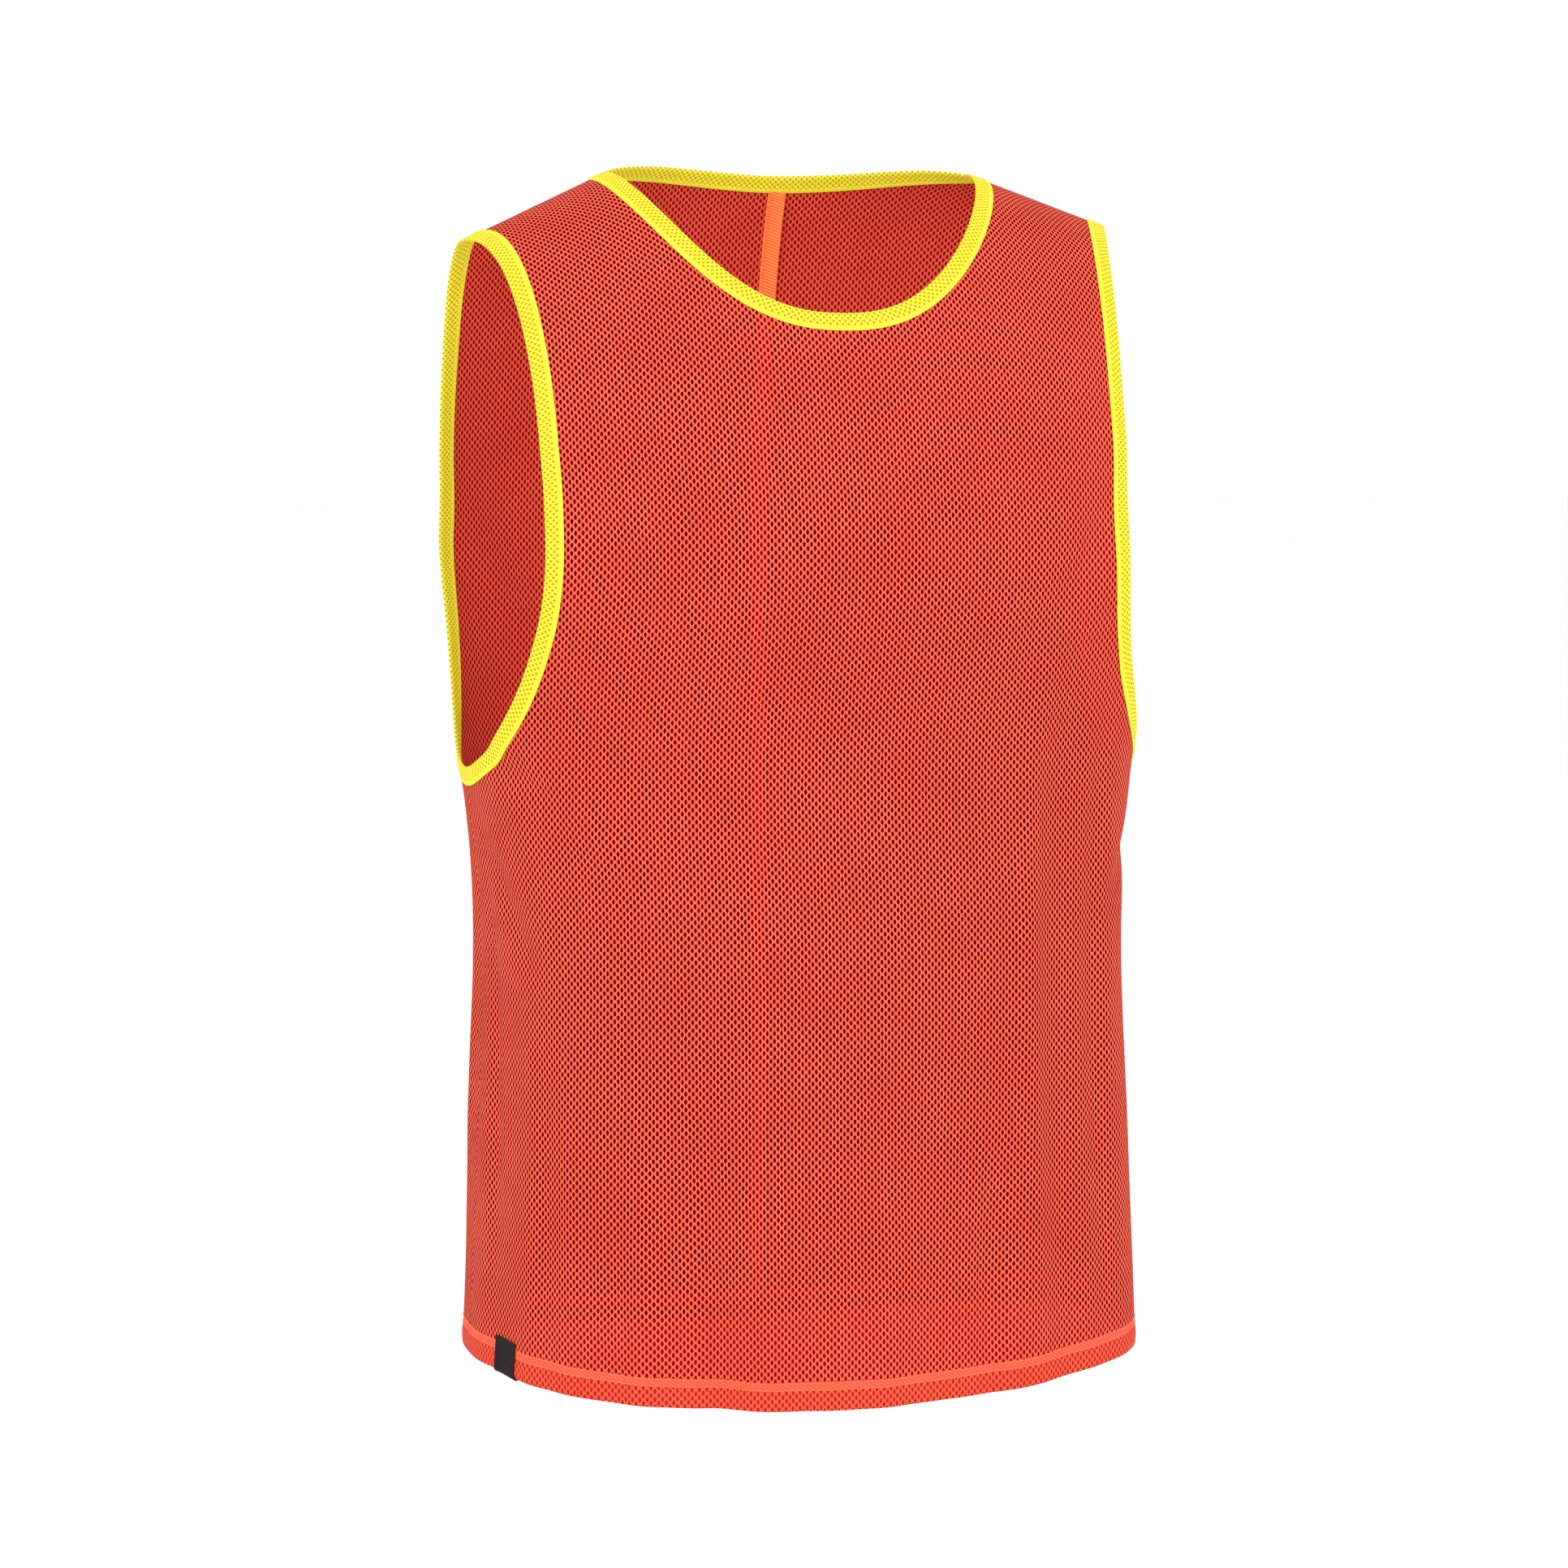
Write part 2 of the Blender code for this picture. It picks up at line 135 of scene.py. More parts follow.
# Cloth layers, depths from the worn surface
CLOTH_OUTER = -0.0003
CLOTH_INNER = -0.0008
HEM_FOLD_RADIUS = 0.00075
HEM_BAND = 0.0108  # double mesh, below the sewn strip
HEM_STRIP = 0.0158  # top of the sewn strip
HEM_STITCH_LINES = (HEM_BAND + 0.0006, HEM_STRIP - 0.0006)
HEM_STITCH_PITCH = 0.0031
HEM_THREAD_RADIUS = 0.00022
HEM_PUFF = 0.0004
EDGE_IN_BINDING = 0.003  # how far a panel's cut edge lies from its binding's sewn edge
GROOVE_DEPTH = 0.0005  # of the cloth that a seam draws in
GROOVE_BREADTH = 0.0014

# Overlocked ridges inside the side and shoulder seams, and the centre-back allowance
RIDGE_DEPTH = 0.0021
RIDGE_HALF_WIDTH = 0.0026
RIDGE_HALF_HEIGHT = 0.0007
ALLOWANCE_DEPTH = 0.0013
ALLOWANCE_CLOTH = 0.0007
ALLOWANCE_NEEDLE_LINE = 0.0012  # from the centre-back seam
ALLOWANCE_STITCH_PITCH = 0.0027

# Knit: repeat across and up, each with two holes
MESH_PITCH = (0.0040, 0.0045)
BAND_PITCH = (0.0034, 0.0036)

# Folded binding: distance from its sewn edge and half its thickness there
BAND_PROFILE = np.array([
    (0.0000, 0.00086),
    (0.0004, 0.00108),
    (0.0009, 0.00118),
    (0.0016, 0.00098),
    (0.0024, 0.00116),
    (0.0032, 0.00106),
    (0.0055, 0.00102),
    (0.0080, 0.00106),
    (0.0096, 0.00098),
    (0.0105, 0.00072),
    (0.0110, 0.00000),
])
BAND_CLOTH = 0.00045  # thickness of its cloth
BAND_BORDER = 0.0024  # width of its sewn border
NEEDLE_LINE = 0.0016  # from a binding's sewn edge
STITCH_PITCH = 0.0028

# Facets
HALF_COLUMNS = 72
NECK_COLUMNS = 44
ROWS_BELOW_ARM = 92
ROWS_BESIDE_ARM = 88
BAND_STEPS = 130
DENSE = 600
FOOT_ROW_SAG = 0.06  # how far the row from the armholes' feet sags at the centre

# Hem tab
TAB_ACROSS = (-0.825, -0.735)
TAB_HEIGHT = 0.020
TAB_CLOTH = 0.0006
TAB_CLEARANCE = 0.0002  # from the cloth that it is folded round
TAB_FOLD_START = 0.0012  # height above the hem where its fold begins
TAB_FOLD_CENTRE = 0.0010
TAB_INNER_END = 0.014

# Camera, from the photograph
PHOTO_SIZE = 1932
FOCAL_PIXELS = 5760
CAMERA_TURN = radians(13.37)
CAMERA_PITCH = radians(5.44)
CAMERA_ROLL = radians(-0.10)
CAMERA_DISTANCE = 2.747
CAMERA_TARGET_RIGHT = -0.0063
CAMERA_TARGET = (0.0, -0.019, -0.357)
SENSOR_WIDTH = 36.0

FLOOR_HEIGHT = -1.25

# Lamps: name, place, side and power
LAMPS = (
    ("key", (-1.9, -2.2, 1.5), 1.1, 84),
    ("fill", (2.4, -1.3, 0.5), 1.4, 38),
)

SHOULDER_RISE = NECK_POINT_HEIGHT - SHOULDER_TURN_HEIGHT
TOP_LEVEL = SHOULDER_TURN_HEIGHT + SHOULDER_RISE * pi / 2


# The worn surface

def quarter_section():
    """Unit half width and depth along a quarter of the cross-section, by share of its length."""
    angle = np.linspace(0, pi / 2, 10 * DENSE + 1)
    wide = np.sin(angle) ** (2 / SECTION_POWER)
    deep = np.cos(angle) ** (2 / SECTION_POWER)
    depth_to_width = BODY_SECTIONS[1, 2] / BODY_SECTIONS[1, 1]
    steps = np.hypot(np.diff(wide), np.diff(deep) * depth_to_width)
    run = np.concatenate([[0], np.cumsum(steps)])
    return run / run[-1], wide, deep, run[-1] * BODY_SECTIONS[1, 1]


SHARE, WIDE, DEEP, QUARTER_LENGTH = quarter_section()


def section_size(column, level):
    """Smooth curve through one column of BODY_SECTIONS, level at its upper end."""
    levels, values = BODY_SECTIONS[:, 0], BODY_SECTIONS[:, column]
    slopes = np.gradient(values, levels)
    slopes[-1] = 0
    level = np.clip(level, levels[0], levels[-1])
    row = np.clip(np.searchsorted(levels, level, side="right") - 1, 0, len(levels) - 2)
    span = levels[row + 1] - levels[row]
    t = (level - levels[row]) / span
    start = (2 * t**3 - 3 * t**2 + 1) * values[row] + (t**3 - 2 * t**2 + t) * span * slopes[row]
    end = (3 * t**2 - 2 * t**3) * values[row + 1] + (t**3 - t**2) * span * slopes[row + 1]
    return start + end


def fold_depth(side, across, level):
    """How far the folds and creases move the cloth outwards here."""
    around = across if side == FRONT else np.where(across < 0, -2 - across, 2 - across)
    total = 0
    for place, low, high, depth, breadth in FOLDS:
        apart = (around - place + 2) % 4 - 2
        along = np.sin(pi * np.clip((level - low) / (high - low), 0, 1)) ** 2
        total = total + depth * along * np.exp(-((apart * QUARTER_LENGTH / breadth) ** 2))
    for place, start, end_place, end, depth, breadth in CREASES:
        run = np.array([(end_place - place) * QUARTER_LENGTH, end - start])
        length = np.linalg.norm(run)
        beside = ((around - place + 2) % 4 - 2) * QUARTER_LENGTH
        above = level - start
        share = np.clip((beside * run[0] + above * run[1]) / length**2, 0, 1)
        apart = np.hypot(beside - share * run[0], above - share * run[1])
        total = total + depth * np.sin(pi * share) ** 1.5 * np.exp(-((apart / breadth) ** 2))
    return total


def shoulder_line(x):
    """Y and height of the shoulder line, which rounds over the neck opening between its ends."""
    part = x / NECK_HALF_WIDTH
    slope = SHOULDER_SLOPE - SHOULDER_TILT * np.clip(part, -1, 1)
    run = np.where(np.abs(part) > 1, np.abs(part) - 1, (part**2 - 1) / 2) * NECK_HALF_WIDTH
    return SHOULDER_LINE_Y + SHOULDER_LINE_LEAN * run, NECK_POINT_HEIGHT - slope * run


def worn(side, across, level, folded=True):
    """Points of the worn surface, with its folds or smooth."""
    half_width = section_size(1, level)
    depth = section_size(2 if side == FRONT else 3, level)
    wide = np.interp(np.abs(across), SHARE, WIDE) * np.sign(across)
    deep = np.interp(np.abs(across), SHARE, DEEP) * side
    out = fold_depth(side, across, level) if folded else 0
    x = wide * (half_width + out)
    line_y, line_height = shoulder_line(x)
    turn = np.clip((level - SHOULDER_TURN_HEIGHT) / SHOULDER_RISE, 0, pi / 2)
    leaning = SHOULDER_TURN_HEIGHT + (line_height - SHOULDER_TURN_HEIGHT) * np.sin(turn)
    height = np.where(level < SHOULDER_TURN_HEIGHT, level, leaning)
    y = line_y * (1 - np.cos(turn)) + deep * (depth + out) * np.cos(turn)
    return np.stack(np.broadcast_arrays(x, y - SHOULDER_LINE_Y, height - NECK_POINT_HEIGHT), -1)


def slopes_at(side, across, level):
    """How the point moves with across and with level."""
    step = 2e-4
    high, low = np.minimum(across + step, 1), np.maximum(across - step, -1)
    by_across = (worn(side, high, level) - worn(side, low, level)) / (high - low)[..., None]
    high, low = np.minimum(level + step, TOP_LEVEL), level - step
    by_level = (worn(side, across, high) - worn(side, across, low)) / (high - low)[..., None]
    return by_across, by_level


def outward(side, across, level):
    """Unit normals of the worn surface."""
    across, level = np.broadcast_arrays(np.asarray(across, float), np.asarray(level, float))
    by_across, by_level = slopes_at(side, across, level)
    normal = np.cross(by_across, by_level) * -side
    return normal / np.linalg.norm(normal, axis=-1, keepdims=True)


def moved_out(side, across, level, distance):
    """Points at a distance outside the worn surface, or inside it if negative."""
    across, level = np.broadcast_arrays(np.asarray(across, float), np.asarray(level, float))
    distance = np.asarray(distance, float)[..., None]
    return worn(side, across, level) + outward(side, across, level) * distance


def inset(side, across, level, distance):
    """An edge that ends on the shoulder line, moved to the left of its way along the cloth."""
    by_across, by_level = slopes_at(side, across, level)
    tangent = np.gradient(worn(side, across, level), axis=0)
    direction = np.cross(np.cross(by_across, by_level), tangent)
    direction *= distance / np.linalg.norm(direction, axis=-1, keepdims=True)
    aa, bb = (by_across**2).sum(-1), (by_level**2).sum(-1)
    ab = (by_across * by_level).sum(-1)
    pa, pb = (direction * by_across).sum(-1), (direction * by_level).sum(-1)
    scale = aa * bb - ab**2
    new_across = across + (pa * bb - pb * ab) / scale
    new_level = level + (pb * aa - pa * ab) / scale
    new_across[-1] = across[-1] - distance / np.sqrt(aa[-1])
    new_level[-1] = TOP_LEVEL
    return new_across, new_level


def even_places(side, across, level, count):
    """Indices along a dense edge that part its length into equal steps."""
    points = worn(side, across, level)
    run = np.concatenate([[0], np.cumsum(np.linalg.norm(np.diff(points, axis=0), axis=1))])
    return np.interp(np.linspace(0, run[-1], count + 1), run, np.arange(len(run)))


def neck_edge(side, distance, steps):
    """Half the neck, from the centre to the shoulder seam, set in from the opening's edge."""
    turn_at_centre, power, roundness = NECK_CURVE[side]
    wide = np.sin(np.linspace(0, pi / 2, DENSE))
    fall = np.clip(1 - wide**power, 0, 1) ** (1 / roundness)
    turn = pi / 2 - (pi / 2 - turn_at_centre) * fall
    level = SHOULDER_TURN_HEIGHT + SHOULDER_RISE * turn
    x = NECK_HALF_WIDTH * wide
    across = np.interp(x / section_size(1, level), WIDE, SHARE)
    place = even_places(side, across, level, steps)
    if distance:
        across, level = inset(side, across, level, -distance)
        across[0] = 0
    index = np.arange(DENSE)
    return np.interp(place, index, across), np.minimum(np.interp(place, index, level), TOP_LEVEL)


def arm_edge(side, distance, steps):
    """One armhole edge, from the side seam up to the shoulder seam, set in from the opening."""
    least, least_level, power = ARM_CURVE[side]
    level = ARM_FOOT + (TOP_LEVEL - ARM_FOOT) * np.linspace(0, 1, DENSE) ** 3
    below = np.clip((level - ARM_FOOT) / (least_level - ARM_FOOT), 0, 1)
    above = np.clip((level - least_level) / (TOP_LEVEL - least_level), 0, 1)
    tip = np.interp(ARM_TIP_HALF_WIDTH / section_size(1, TOP_LEVEL), WIDE, SHARE)
    across = 1 - (1 - least) * np.sqrt(1 - (1 - below) ** 2) + (tip - least) * above**power
    place = even_places(side, across, level, steps)
    if distance:
        across, level = inset(side, across, level, distance)
        across[0], level[0] = 1, ARM_FOOT - distance
    index = np.arange(DENSE)
    across, level = np.interp(place, index, across), np.interp(place, index, level)
    return np.minimum(across, 1), np.minimum(level, TOP_LEVEL)


def cloth_chart(side):
    """Lengths along the smooth cloth, across from the centre line and up from the hem."""
    level = np.linspace(0, TOP_LEVEL, 300)
    across = np.linspace(0, 1, 160)
    points = worn(side, across[None, :], level[:, None], folded=False)
    along = np.linalg.norm(np.diff(points, axis=1), axis=-1)
    up = np.linalg.norm(np.diff(points, axis=0), axis=-1)
    along = np.concatenate([np.zeros((len(level), 1)), np.cumsum(along, axis=1)], axis=1)
    up = np.concatenate([np.zeros((1, len(across))), np.cumsum(up, axis=0)], axis=0)
    return along, up


CHARTS = {side: cloth_chart(side) for side in (FRONT, BACK)}


def cloth_lengths(side, across, level):
    """Flat place of a point in the cloth, in metres across and up."""
    across, level = np.broadcast_arrays(np.asarray(across, float), np.asarray(level, float))
    rows, columns = CHARTS[side][0].shape
    row = np.clip(level / TOP_LEVEL, 0, 1) * (rows - 1)
    column = np.clip(np.abs(across), 0, 1) * (columns - 1)
    low_row = np.minimum(row.astype(int), rows - 2)
    low_column = np.minimum(column.astype(int), columns - 2)
    r, c = row - low_row, column - low_column
    flat = []
    for table in CHARTS[side]:
        low = table[low_row, low_column] * (1 - c) + table[low_row, low_column + 1] * c
        high = table[low_row + 1, low_column] * (1 - c) + table[low_row + 1, low_column + 1] * c
        flat.append(low * (1 - r) + high * r)
    return flat[0] * np.sign(across), flat[1] + np.minimum(level, 0)


def panel_grid(side):
    """Places of one half of a body panel: rows from hem to top, columns from centre to side."""
    edge_distance = BINDING_WIDTH - EDGE_IN_BINDING
    neck_across, neck_level = neck_edge(side, edge_distance, NECK_COLUMNS)
    arm_across, arm_level = arm_edge(side, edge_distance, ROWS_BESIDE_ARM)
    columns = np.linspace(0, 1, HALF_COLUMNS + 1)
    shoulder_columns = HALF_COLUMNS - NECK_COLUMNS
    shoulder = np.linspace(neck_across[-1], arm_across[-1], shoulder_columns + 1)[1:]
    top_across = np.concatenate([neck_across, shoulder])
    top_level = np.concatenate([neck_level, np.full(shoulder_columns, TOP_LEVEL)])
    hem = SIDE_RISE * np.interp(columns, SHARE, WIDE) ** 2 + HEM_FOLD_RADIUS
    foot = arm_level[0] - FOOT_ROW_SAG * (1 - columns**2)
    rows = [(columns, hem + height) for height in np.linspace(0, HEM_BAND, 7)]
    rows += [(columns, hem + height) for height in np.linspace(HEM_BAND, HEM_STRIP, 5)[1:]]
    for share in np.linspace(0, 1, ROWS_BELOW_ARM)[1:]:
        start = hem + HEM_STRIP
        rows.append((columns, start + share * (foot - start)))
    narrow = np.minimum.accumulate(arm_across)
    flare = arm_across - narrow
    top_shift = top_across - columns * narrow[-1] - columns**8 * flare[-1]
    side_share = (arm_level - foot[-1]) / (TOP_LEVEL - foot[-1])
    even_share = np.linspace(0, 1, ROWS_BESIDE_ARM + 1)
    for row in range(1, ROWS_BESIDE_ARM + 1):
        share = even_share[row] + (side_share[row] - even_share[row]) * columns**3
        across = columns * narrow[row] + columns**8 * flare[row] + top_shift * share**1.5
        rows.append((across, foot + share * (top_level - foot)))
    across = np.array([row[0] for row in rows])
    level = np.array([row[1] for row in rows])
    return across, level


# Meshes

def make_object(name, vertices, faces, corner_uv, materials, slots=None):
    """A smooth mesh piece with its cloth lengths as UV."""
    mesh = bpy.data.meshes.new(name)
    mesh.from_pydata(vertices.tolist(), [], faces.tolist())
    layer = mesh.uv_layers.new(name="cloth")
    layer.data.foreach_set("uv", corner_uv.reshape(-1).astype(np.float32))
    for material in materials:
        mesh.materials.append(material)
    if slots is not None:
        mesh.polygons.foreach_set("material_index", slots.astype(np.int32))
    mesh.shade_smooth()
    mesh.set_sharp_from_angle(angle=1.1)
    made = bpy.data.objects.new(name, mesh)
    bpy.context.scene.collection.objects.link(made)
    return made


def wall(name, outer, inner, uv, materials, row_slots=None, flip=False):
    """A closed thin shell between two grids of points."""
    rows, columns = outer.shape[:2]
    front = np.arange(rows * columns).reshape(rows, columns)
    back = front + rows * columns
    quads, slots = [], []
    if row_slots is None:
        row_slots = np.zeros(rows - 1)
    by_face = np.repeat(row_slots, columns - 1)
    for grid in (front, back[:, ::-1]):
        corners = (grid[:-1, :-1], grid[:-1, 1:], grid[1:, 1:], grid[1:, :-1])
        quads.append(np.stack(corners, -1).reshape(-1, 4))
        slots.append(by_face)
    rim = [(front[0], back[0]), (front[:, -1], back[:, -1]),
           (front[-1, ::-1], back[-1, ::-1]), (front[::-1, 0], back[::-1, 0])]
    ends = [np.full(columns - 1, row_slots[0]), row_slots,
            np.full(columns - 1, row_slots[-1]), row_slots[::-1]]
    for (edge, lining), slot in zip(rim, ends):
        quads.append(np.stack((lining[:-1], lining[1:], edge[1:], edge[:-1]), -1))
        slots.append(slot)
    faces = np.concatenate(quads)
    if flip:
        faces = faces[:, ::-1]
    vertices = np.concatenate([outer.reshape(-1, 3), inner.reshape(-1, 3)])
    vertex_uv = np.concatenate([uv.reshape(-1, 2)] * 2)
    return make_object(name, vertices, faces, vertex_uv[faces], materials, np.concatenate(slots))


def tube(name, sections, along, around, materials, closed=True, corner_slots=None):
    """A tube through outlines; along and around give the cloth lengths of its corners."""
    count, size = sections.shape[:2]
    s, c = np.meshgrid(np.arange(count if closed else count - 1), np.arange(size), indexing="ij")
    corners = [(s, c), (s + 1, c), (s + 1, c + 1), (s, c + 1)]
    faces = np.stack([(a % count) * size + b % size for a, b in corners], -1).reshape(-1, 4)
    uv = np.stack([np.stack([along[a], around[b]], -1) for a, b in corners], 2).reshape(-1, 2)
    slots = None
    if corner_slots is not None:
        slots = np.tile(corner_slots, s.shape[0])
    vertices = sections.reshape(-1, 3)
    edges = vertices[faces[:, 1]] - vertices[faces[:, 0]]
    normal = np.cross(edges, vertices[faces[:, 3]] - vertices[faces[:, 0]])
    middle = sections.mean(axis=1).repeat(size, axis=0)[: len(faces)]
    if (normal * (vertices[faces[:, 0]] - middle)).sum() < 0:
        faces = faces[:, ::-1]
        uv = uv.reshape(-1, 4, 2)[:, ::-1].reshape(-1, 2)
    made = make_object(name, vertices, faces, uv, materials, slots)
    if not closed:
        cap_ends(made, count, size)
    return made


def cap_ends(made, count, size):
    """Close an open tube's two ends."""
    shape = bmesh.new()
    shape.from_mesh(made.data)
    bmesh.ops.holes_fill(shape, edges=[e for e in shape.edges if e.is_boundary], sides=size + 1)
    bmesh.ops.recalc_face_normals(shape, faces=shape.faces)
    shape.to_mesh(made.data)
    shape.free()


def run_lengths(points, closed=False):
    """Length from the first point to each, and back to the first if closed."""
    if closed:
        points = np.concatenate([points, points[:1]])
    return np.concatenate([[0], np.cumsum(np.linalg.norm(np.diff(points, axis=0), axis=1))])


def stitch_row(name, points, normals, pitch, material, closed=False, radius=0.00026, lift=0.0):
    """A row of small sewn stitches, each a bent thread that dips into the cloth at its ends."""
    run = run_lengths(points, closed)
    if closed:
        points = np.concatenate([points, points[:1]])
        normals = np.concatenate([normals, normals[:1]])
    count = int(run[-1] / pitch)
    pitch = run[-1] / count
    shares = np.array([-0.42, -0.30, -0.10, 0.10, 0.30, 0.42])
    heights = np.array([-1.6, 0.3, 0.9, 0.9, 0.3, -1.6]) * radius + lift
    girths = np.array([0.7, 1.0, 1.1, 1.1, 1.0, 0.7]) * radius
    at = (np.arange(count)[:, None] + 0.5 + shares) * pitch
    centre = np.stack([np.interp(at, run, points[:, k]) for k in range(3)], -1)
    up = np.stack([np.interp(at, run, normals[:, k]) for k in range(3)], -1)
    up /= np.linalg.norm(up, axis=-1, keepdims=True)
    tangent = np.gradient(centre, axis=1)
    side = np.cross(tangent, up)
    side /= np.linalg.norm(side, axis=-1, keepdims=True)
    centre = centre + up * heights[:, None]
    turns = np.arange(6) / 6 * 2 * pi
    ring = (side[..., None, :] * np.cos(turns)[:, None] + up[..., None, :] * np.sin(turns)[:, None])
    vertices = centre[..., None, :] + ring * girths[:, None, None]
    rings, size = len(shares), len(turns)
    base = np.arange(count)[:, None, None] * rings * size
    r, c = np.meshgrid(np.arange(rings - 1), np.arange(size), indexing="ij")
    quads = np.stack([r * size + c, r * size + (c + 1) % size,
                      (r + 1) * size + (c + 1) % size, (r + 1) * size + c], -1).reshape(1, -1, 4)
    quads = (base + quads).reshape(-1, 4)
    corner_uv = np.stack([quads * 0.0, quads * 0.0], -1)
    return make_object(name, vertices.reshape(-1, 3), quads, corner_uv, [material])


# Materials

def linear(red, green, blue):
    """Scene colour of an 8-bit screen colour."""
    made = []
    for value in (red, green, blue):
        value /= 255
        made.append(value / 12.92 if value <= 0.04045 else ((value + 0.055) / 1.055) ** 2.4)
    return (*made, 1.0)


class Tree:
    """Short calls that build one material's nodes."""

    def __init__(self, name):
        self.material = bpy.data.materials.new(name)
        self.material.use_nodes = True
        self.nodes = self.material.node_tree.nodes
        self.links = self.material.node_tree.links
        self.cloth = self.nodes["Principled BSDF"]
        self.output = self.nodes["Material Output"]

    def put(self, socket, value):
        if isinstance(value, bpy.types.NodeSocket):
            self.links.new(value, socket)
        else:
            socket.default_value = value

    def math(self, operation, *values, clamp=False):
        node = self.nodes.new("ShaderNodeMath")
        node.operation = operation
        node.use_clamp = clamp
        for socket, value in zip(node.inputs, values):
            self.put(socket, value)
        return node.outputs[0]

    def ramp(self, value, low, high, start=0.0, end=1.0):
        node = self.nodes.new("ShaderNodeMapRange")
        node.interpolation_type = "SMOOTHSTEP"
        for name, given in (("Value", value), ("From Min", low), ("From Max", high),
                            ("To Min", start), ("To Max", end)):
            self.put(node.inputs[name], given)
        return node.outputs[0]

    def mix(self, factor, one, other):
        node = self.nodes.new("ShaderNodeMix")
        node.data_type = "RGBA"
        self.put(node.inputs[0], factor)
        self.put(node.inputs[6], one)
        self.put(node.inputs[7], other)
        return node.outputs[2]

    def noise(self, vector, scale, detail=2.0):
        node = self.nodes.new("ShaderNodeTexNoise")
        self.put(node.inputs["Vector"], vector)
        node.inputs["Scale"].default_value = scale
        node.inputs["Detail"].default_value = detail
        return node.outputs["Fac"]

    def cloth_lengths(self):
        node = self.nodes.new("ShaderNodeUVMap")
        node.uv_map = "cloth"
        parts = self.nodes.new("ShaderNodeSeparateXYZ")
        self.links.new(node.outputs[0], parts.inputs[0])
        return node.outputs[0], parts.outputs[0], parts.outputs[1]

    def bump(self, height, strength, distance):
        node = self.nodes.new("ShaderNodeBump")
        node.inputs["Strength"].default_value = strength
        node.inputs["Distance"].default_value = distance
        self.put(node.inputs["Height"], height)
        self.put(self.cloth.inputs["Normal"], node.outputs[0])

    def finish(self, roughness, sheen, sheen_tint, painted_glow=None):
        self.cloth.inputs["Roughness"].default_value = roughness
        self.cloth.inputs["Specular IOR Level"].default_value = 0.05
        self.cloth.inputs["Sheen Weight"].default_value = sheen
        self.cloth.inputs["Sheen Roughness"].default_value = 0.5
        self.cloth.inputs["Sheen Tint"].default_value = sheen_tint
        # painted glow: emission in the cloth's own colour brightens it where no lamp reaches
        if painted_glow:
            colour, strength = painted_glow
            self.cloth.inputs["Emission Color"].default_value = colour
            self.cloth.inputs["Emission Strength"].default_value = strength
        return self.material


def knit_distance(tree, across, up, pitch, narrow):
    """Distance from the middle of the nearest hole, in repeats; narrow makes holes slimmer."""
    x = tree.math("DIVIDE", across, pitch[0])
    y = tree.math("DIVIDE", up, pitch[1])
    one = tree.math("PINGPONG", tree.math("ADD", x, y), 0.5)
    other = tree.math("PINGPONG", tree.math("SUBTRACT", x, y), 0.5)
    squares = tree.math("ADD", tree.math("MULTIPLY", one, one), tree.math("MULTIPLY", other, other))
    beside = tree.math("PINGPONG", tree.math("MULTIPLY", x, 2.0), 0.5)
    return tree.math("ADD", tree.math("SQRT", squares), tree.math("MULTIPLY", beside, narrow))


def knit_material(name, colours, pitch, hole, see_through=None, painted_glow=0.0, narrow=0.48):
    """Warp-knitted mesh: yarn colours with painted highlight and painted shade, holes of a size in
    repeats, seen through tinted with painted shade or painted dark.
    """
    tree = Tree(name)
    vector, across, up = tree.cloth_lengths()
    drift = tree.noise(vector, 70.0, 1.0)
    sway = tree.math("MULTIPLY", tree.math("SUBTRACT", drift, 0.5), 0.0009)
    across = tree.math("ADD", across, sway)
    distance = knit_distance(tree, across, up, pitch, narrow)
    yarn, light, shade, depth = colours
    loops = tree.noise(vector, 2600.0, 2.0)
    patches = tree.noise(vector, 16.0, 2.0)
    crown = tree.ramp(distance, hole + 0.05, hole + 0.28)
    # painted highlight: the strands' crowns are painted lighter, broken up by the fine loops
    thread = tree.mix(tree.math("MULTIPLY", crown, loops), yarn, light)
    # darker patches of tone that vary at random
    thread = tree.mix(tree.ramp(patches, 0.35, 0.75, 0.0, 0.16), thread, shade)
    # painted shade: the yarn is painted darker towards the hole rims
    colour = tree.mix(tree.ramp(distance, hole - 0.02, hole + 0.12), shade, thread)
    solid = tree.ramp(distance, hole - 0.045, hole + 0.045)
    # painted holes: opaque mesh paints its holes with the colour of the layer behind, darkened as
    # painted shade
    if see_through is None:
        colour = tree.mix(solid, depth, colour)
    tree.put(tree.cloth.inputs["Base Color"], colour)
    relief = tree.math("ADD", tree.ramp(distance, hole - 0.05, hole + 0.30),
                       tree.math("MULTIPLY", loops, 0.35))
    tree.bump(relief, 0.55, 0.0004)
    made = tree.finish(0.7, 0.0, light, (yarn, painted_glow) if painted_glow else None)
    if see_through is not None:
        # painted shade: what the holes show is tinted dark red
        clear = tree.nodes.new("ShaderNodeBsdfTransparent")
        clear.inputs["Color"].default_value = see_through
        mixed = tree.nodes.new("ShaderNodeMixShader")
        tree.links.new(solid, mixed.inputs[0])
        tree.links.new(clear.outputs[0], mixed.inputs[1])
        tree.links.new(tree.cloth.outputs[0], mixed.inputs[2])
        tree.links.new(mixed.outputs[0], tree.output.inputs["Surface"])
    return made


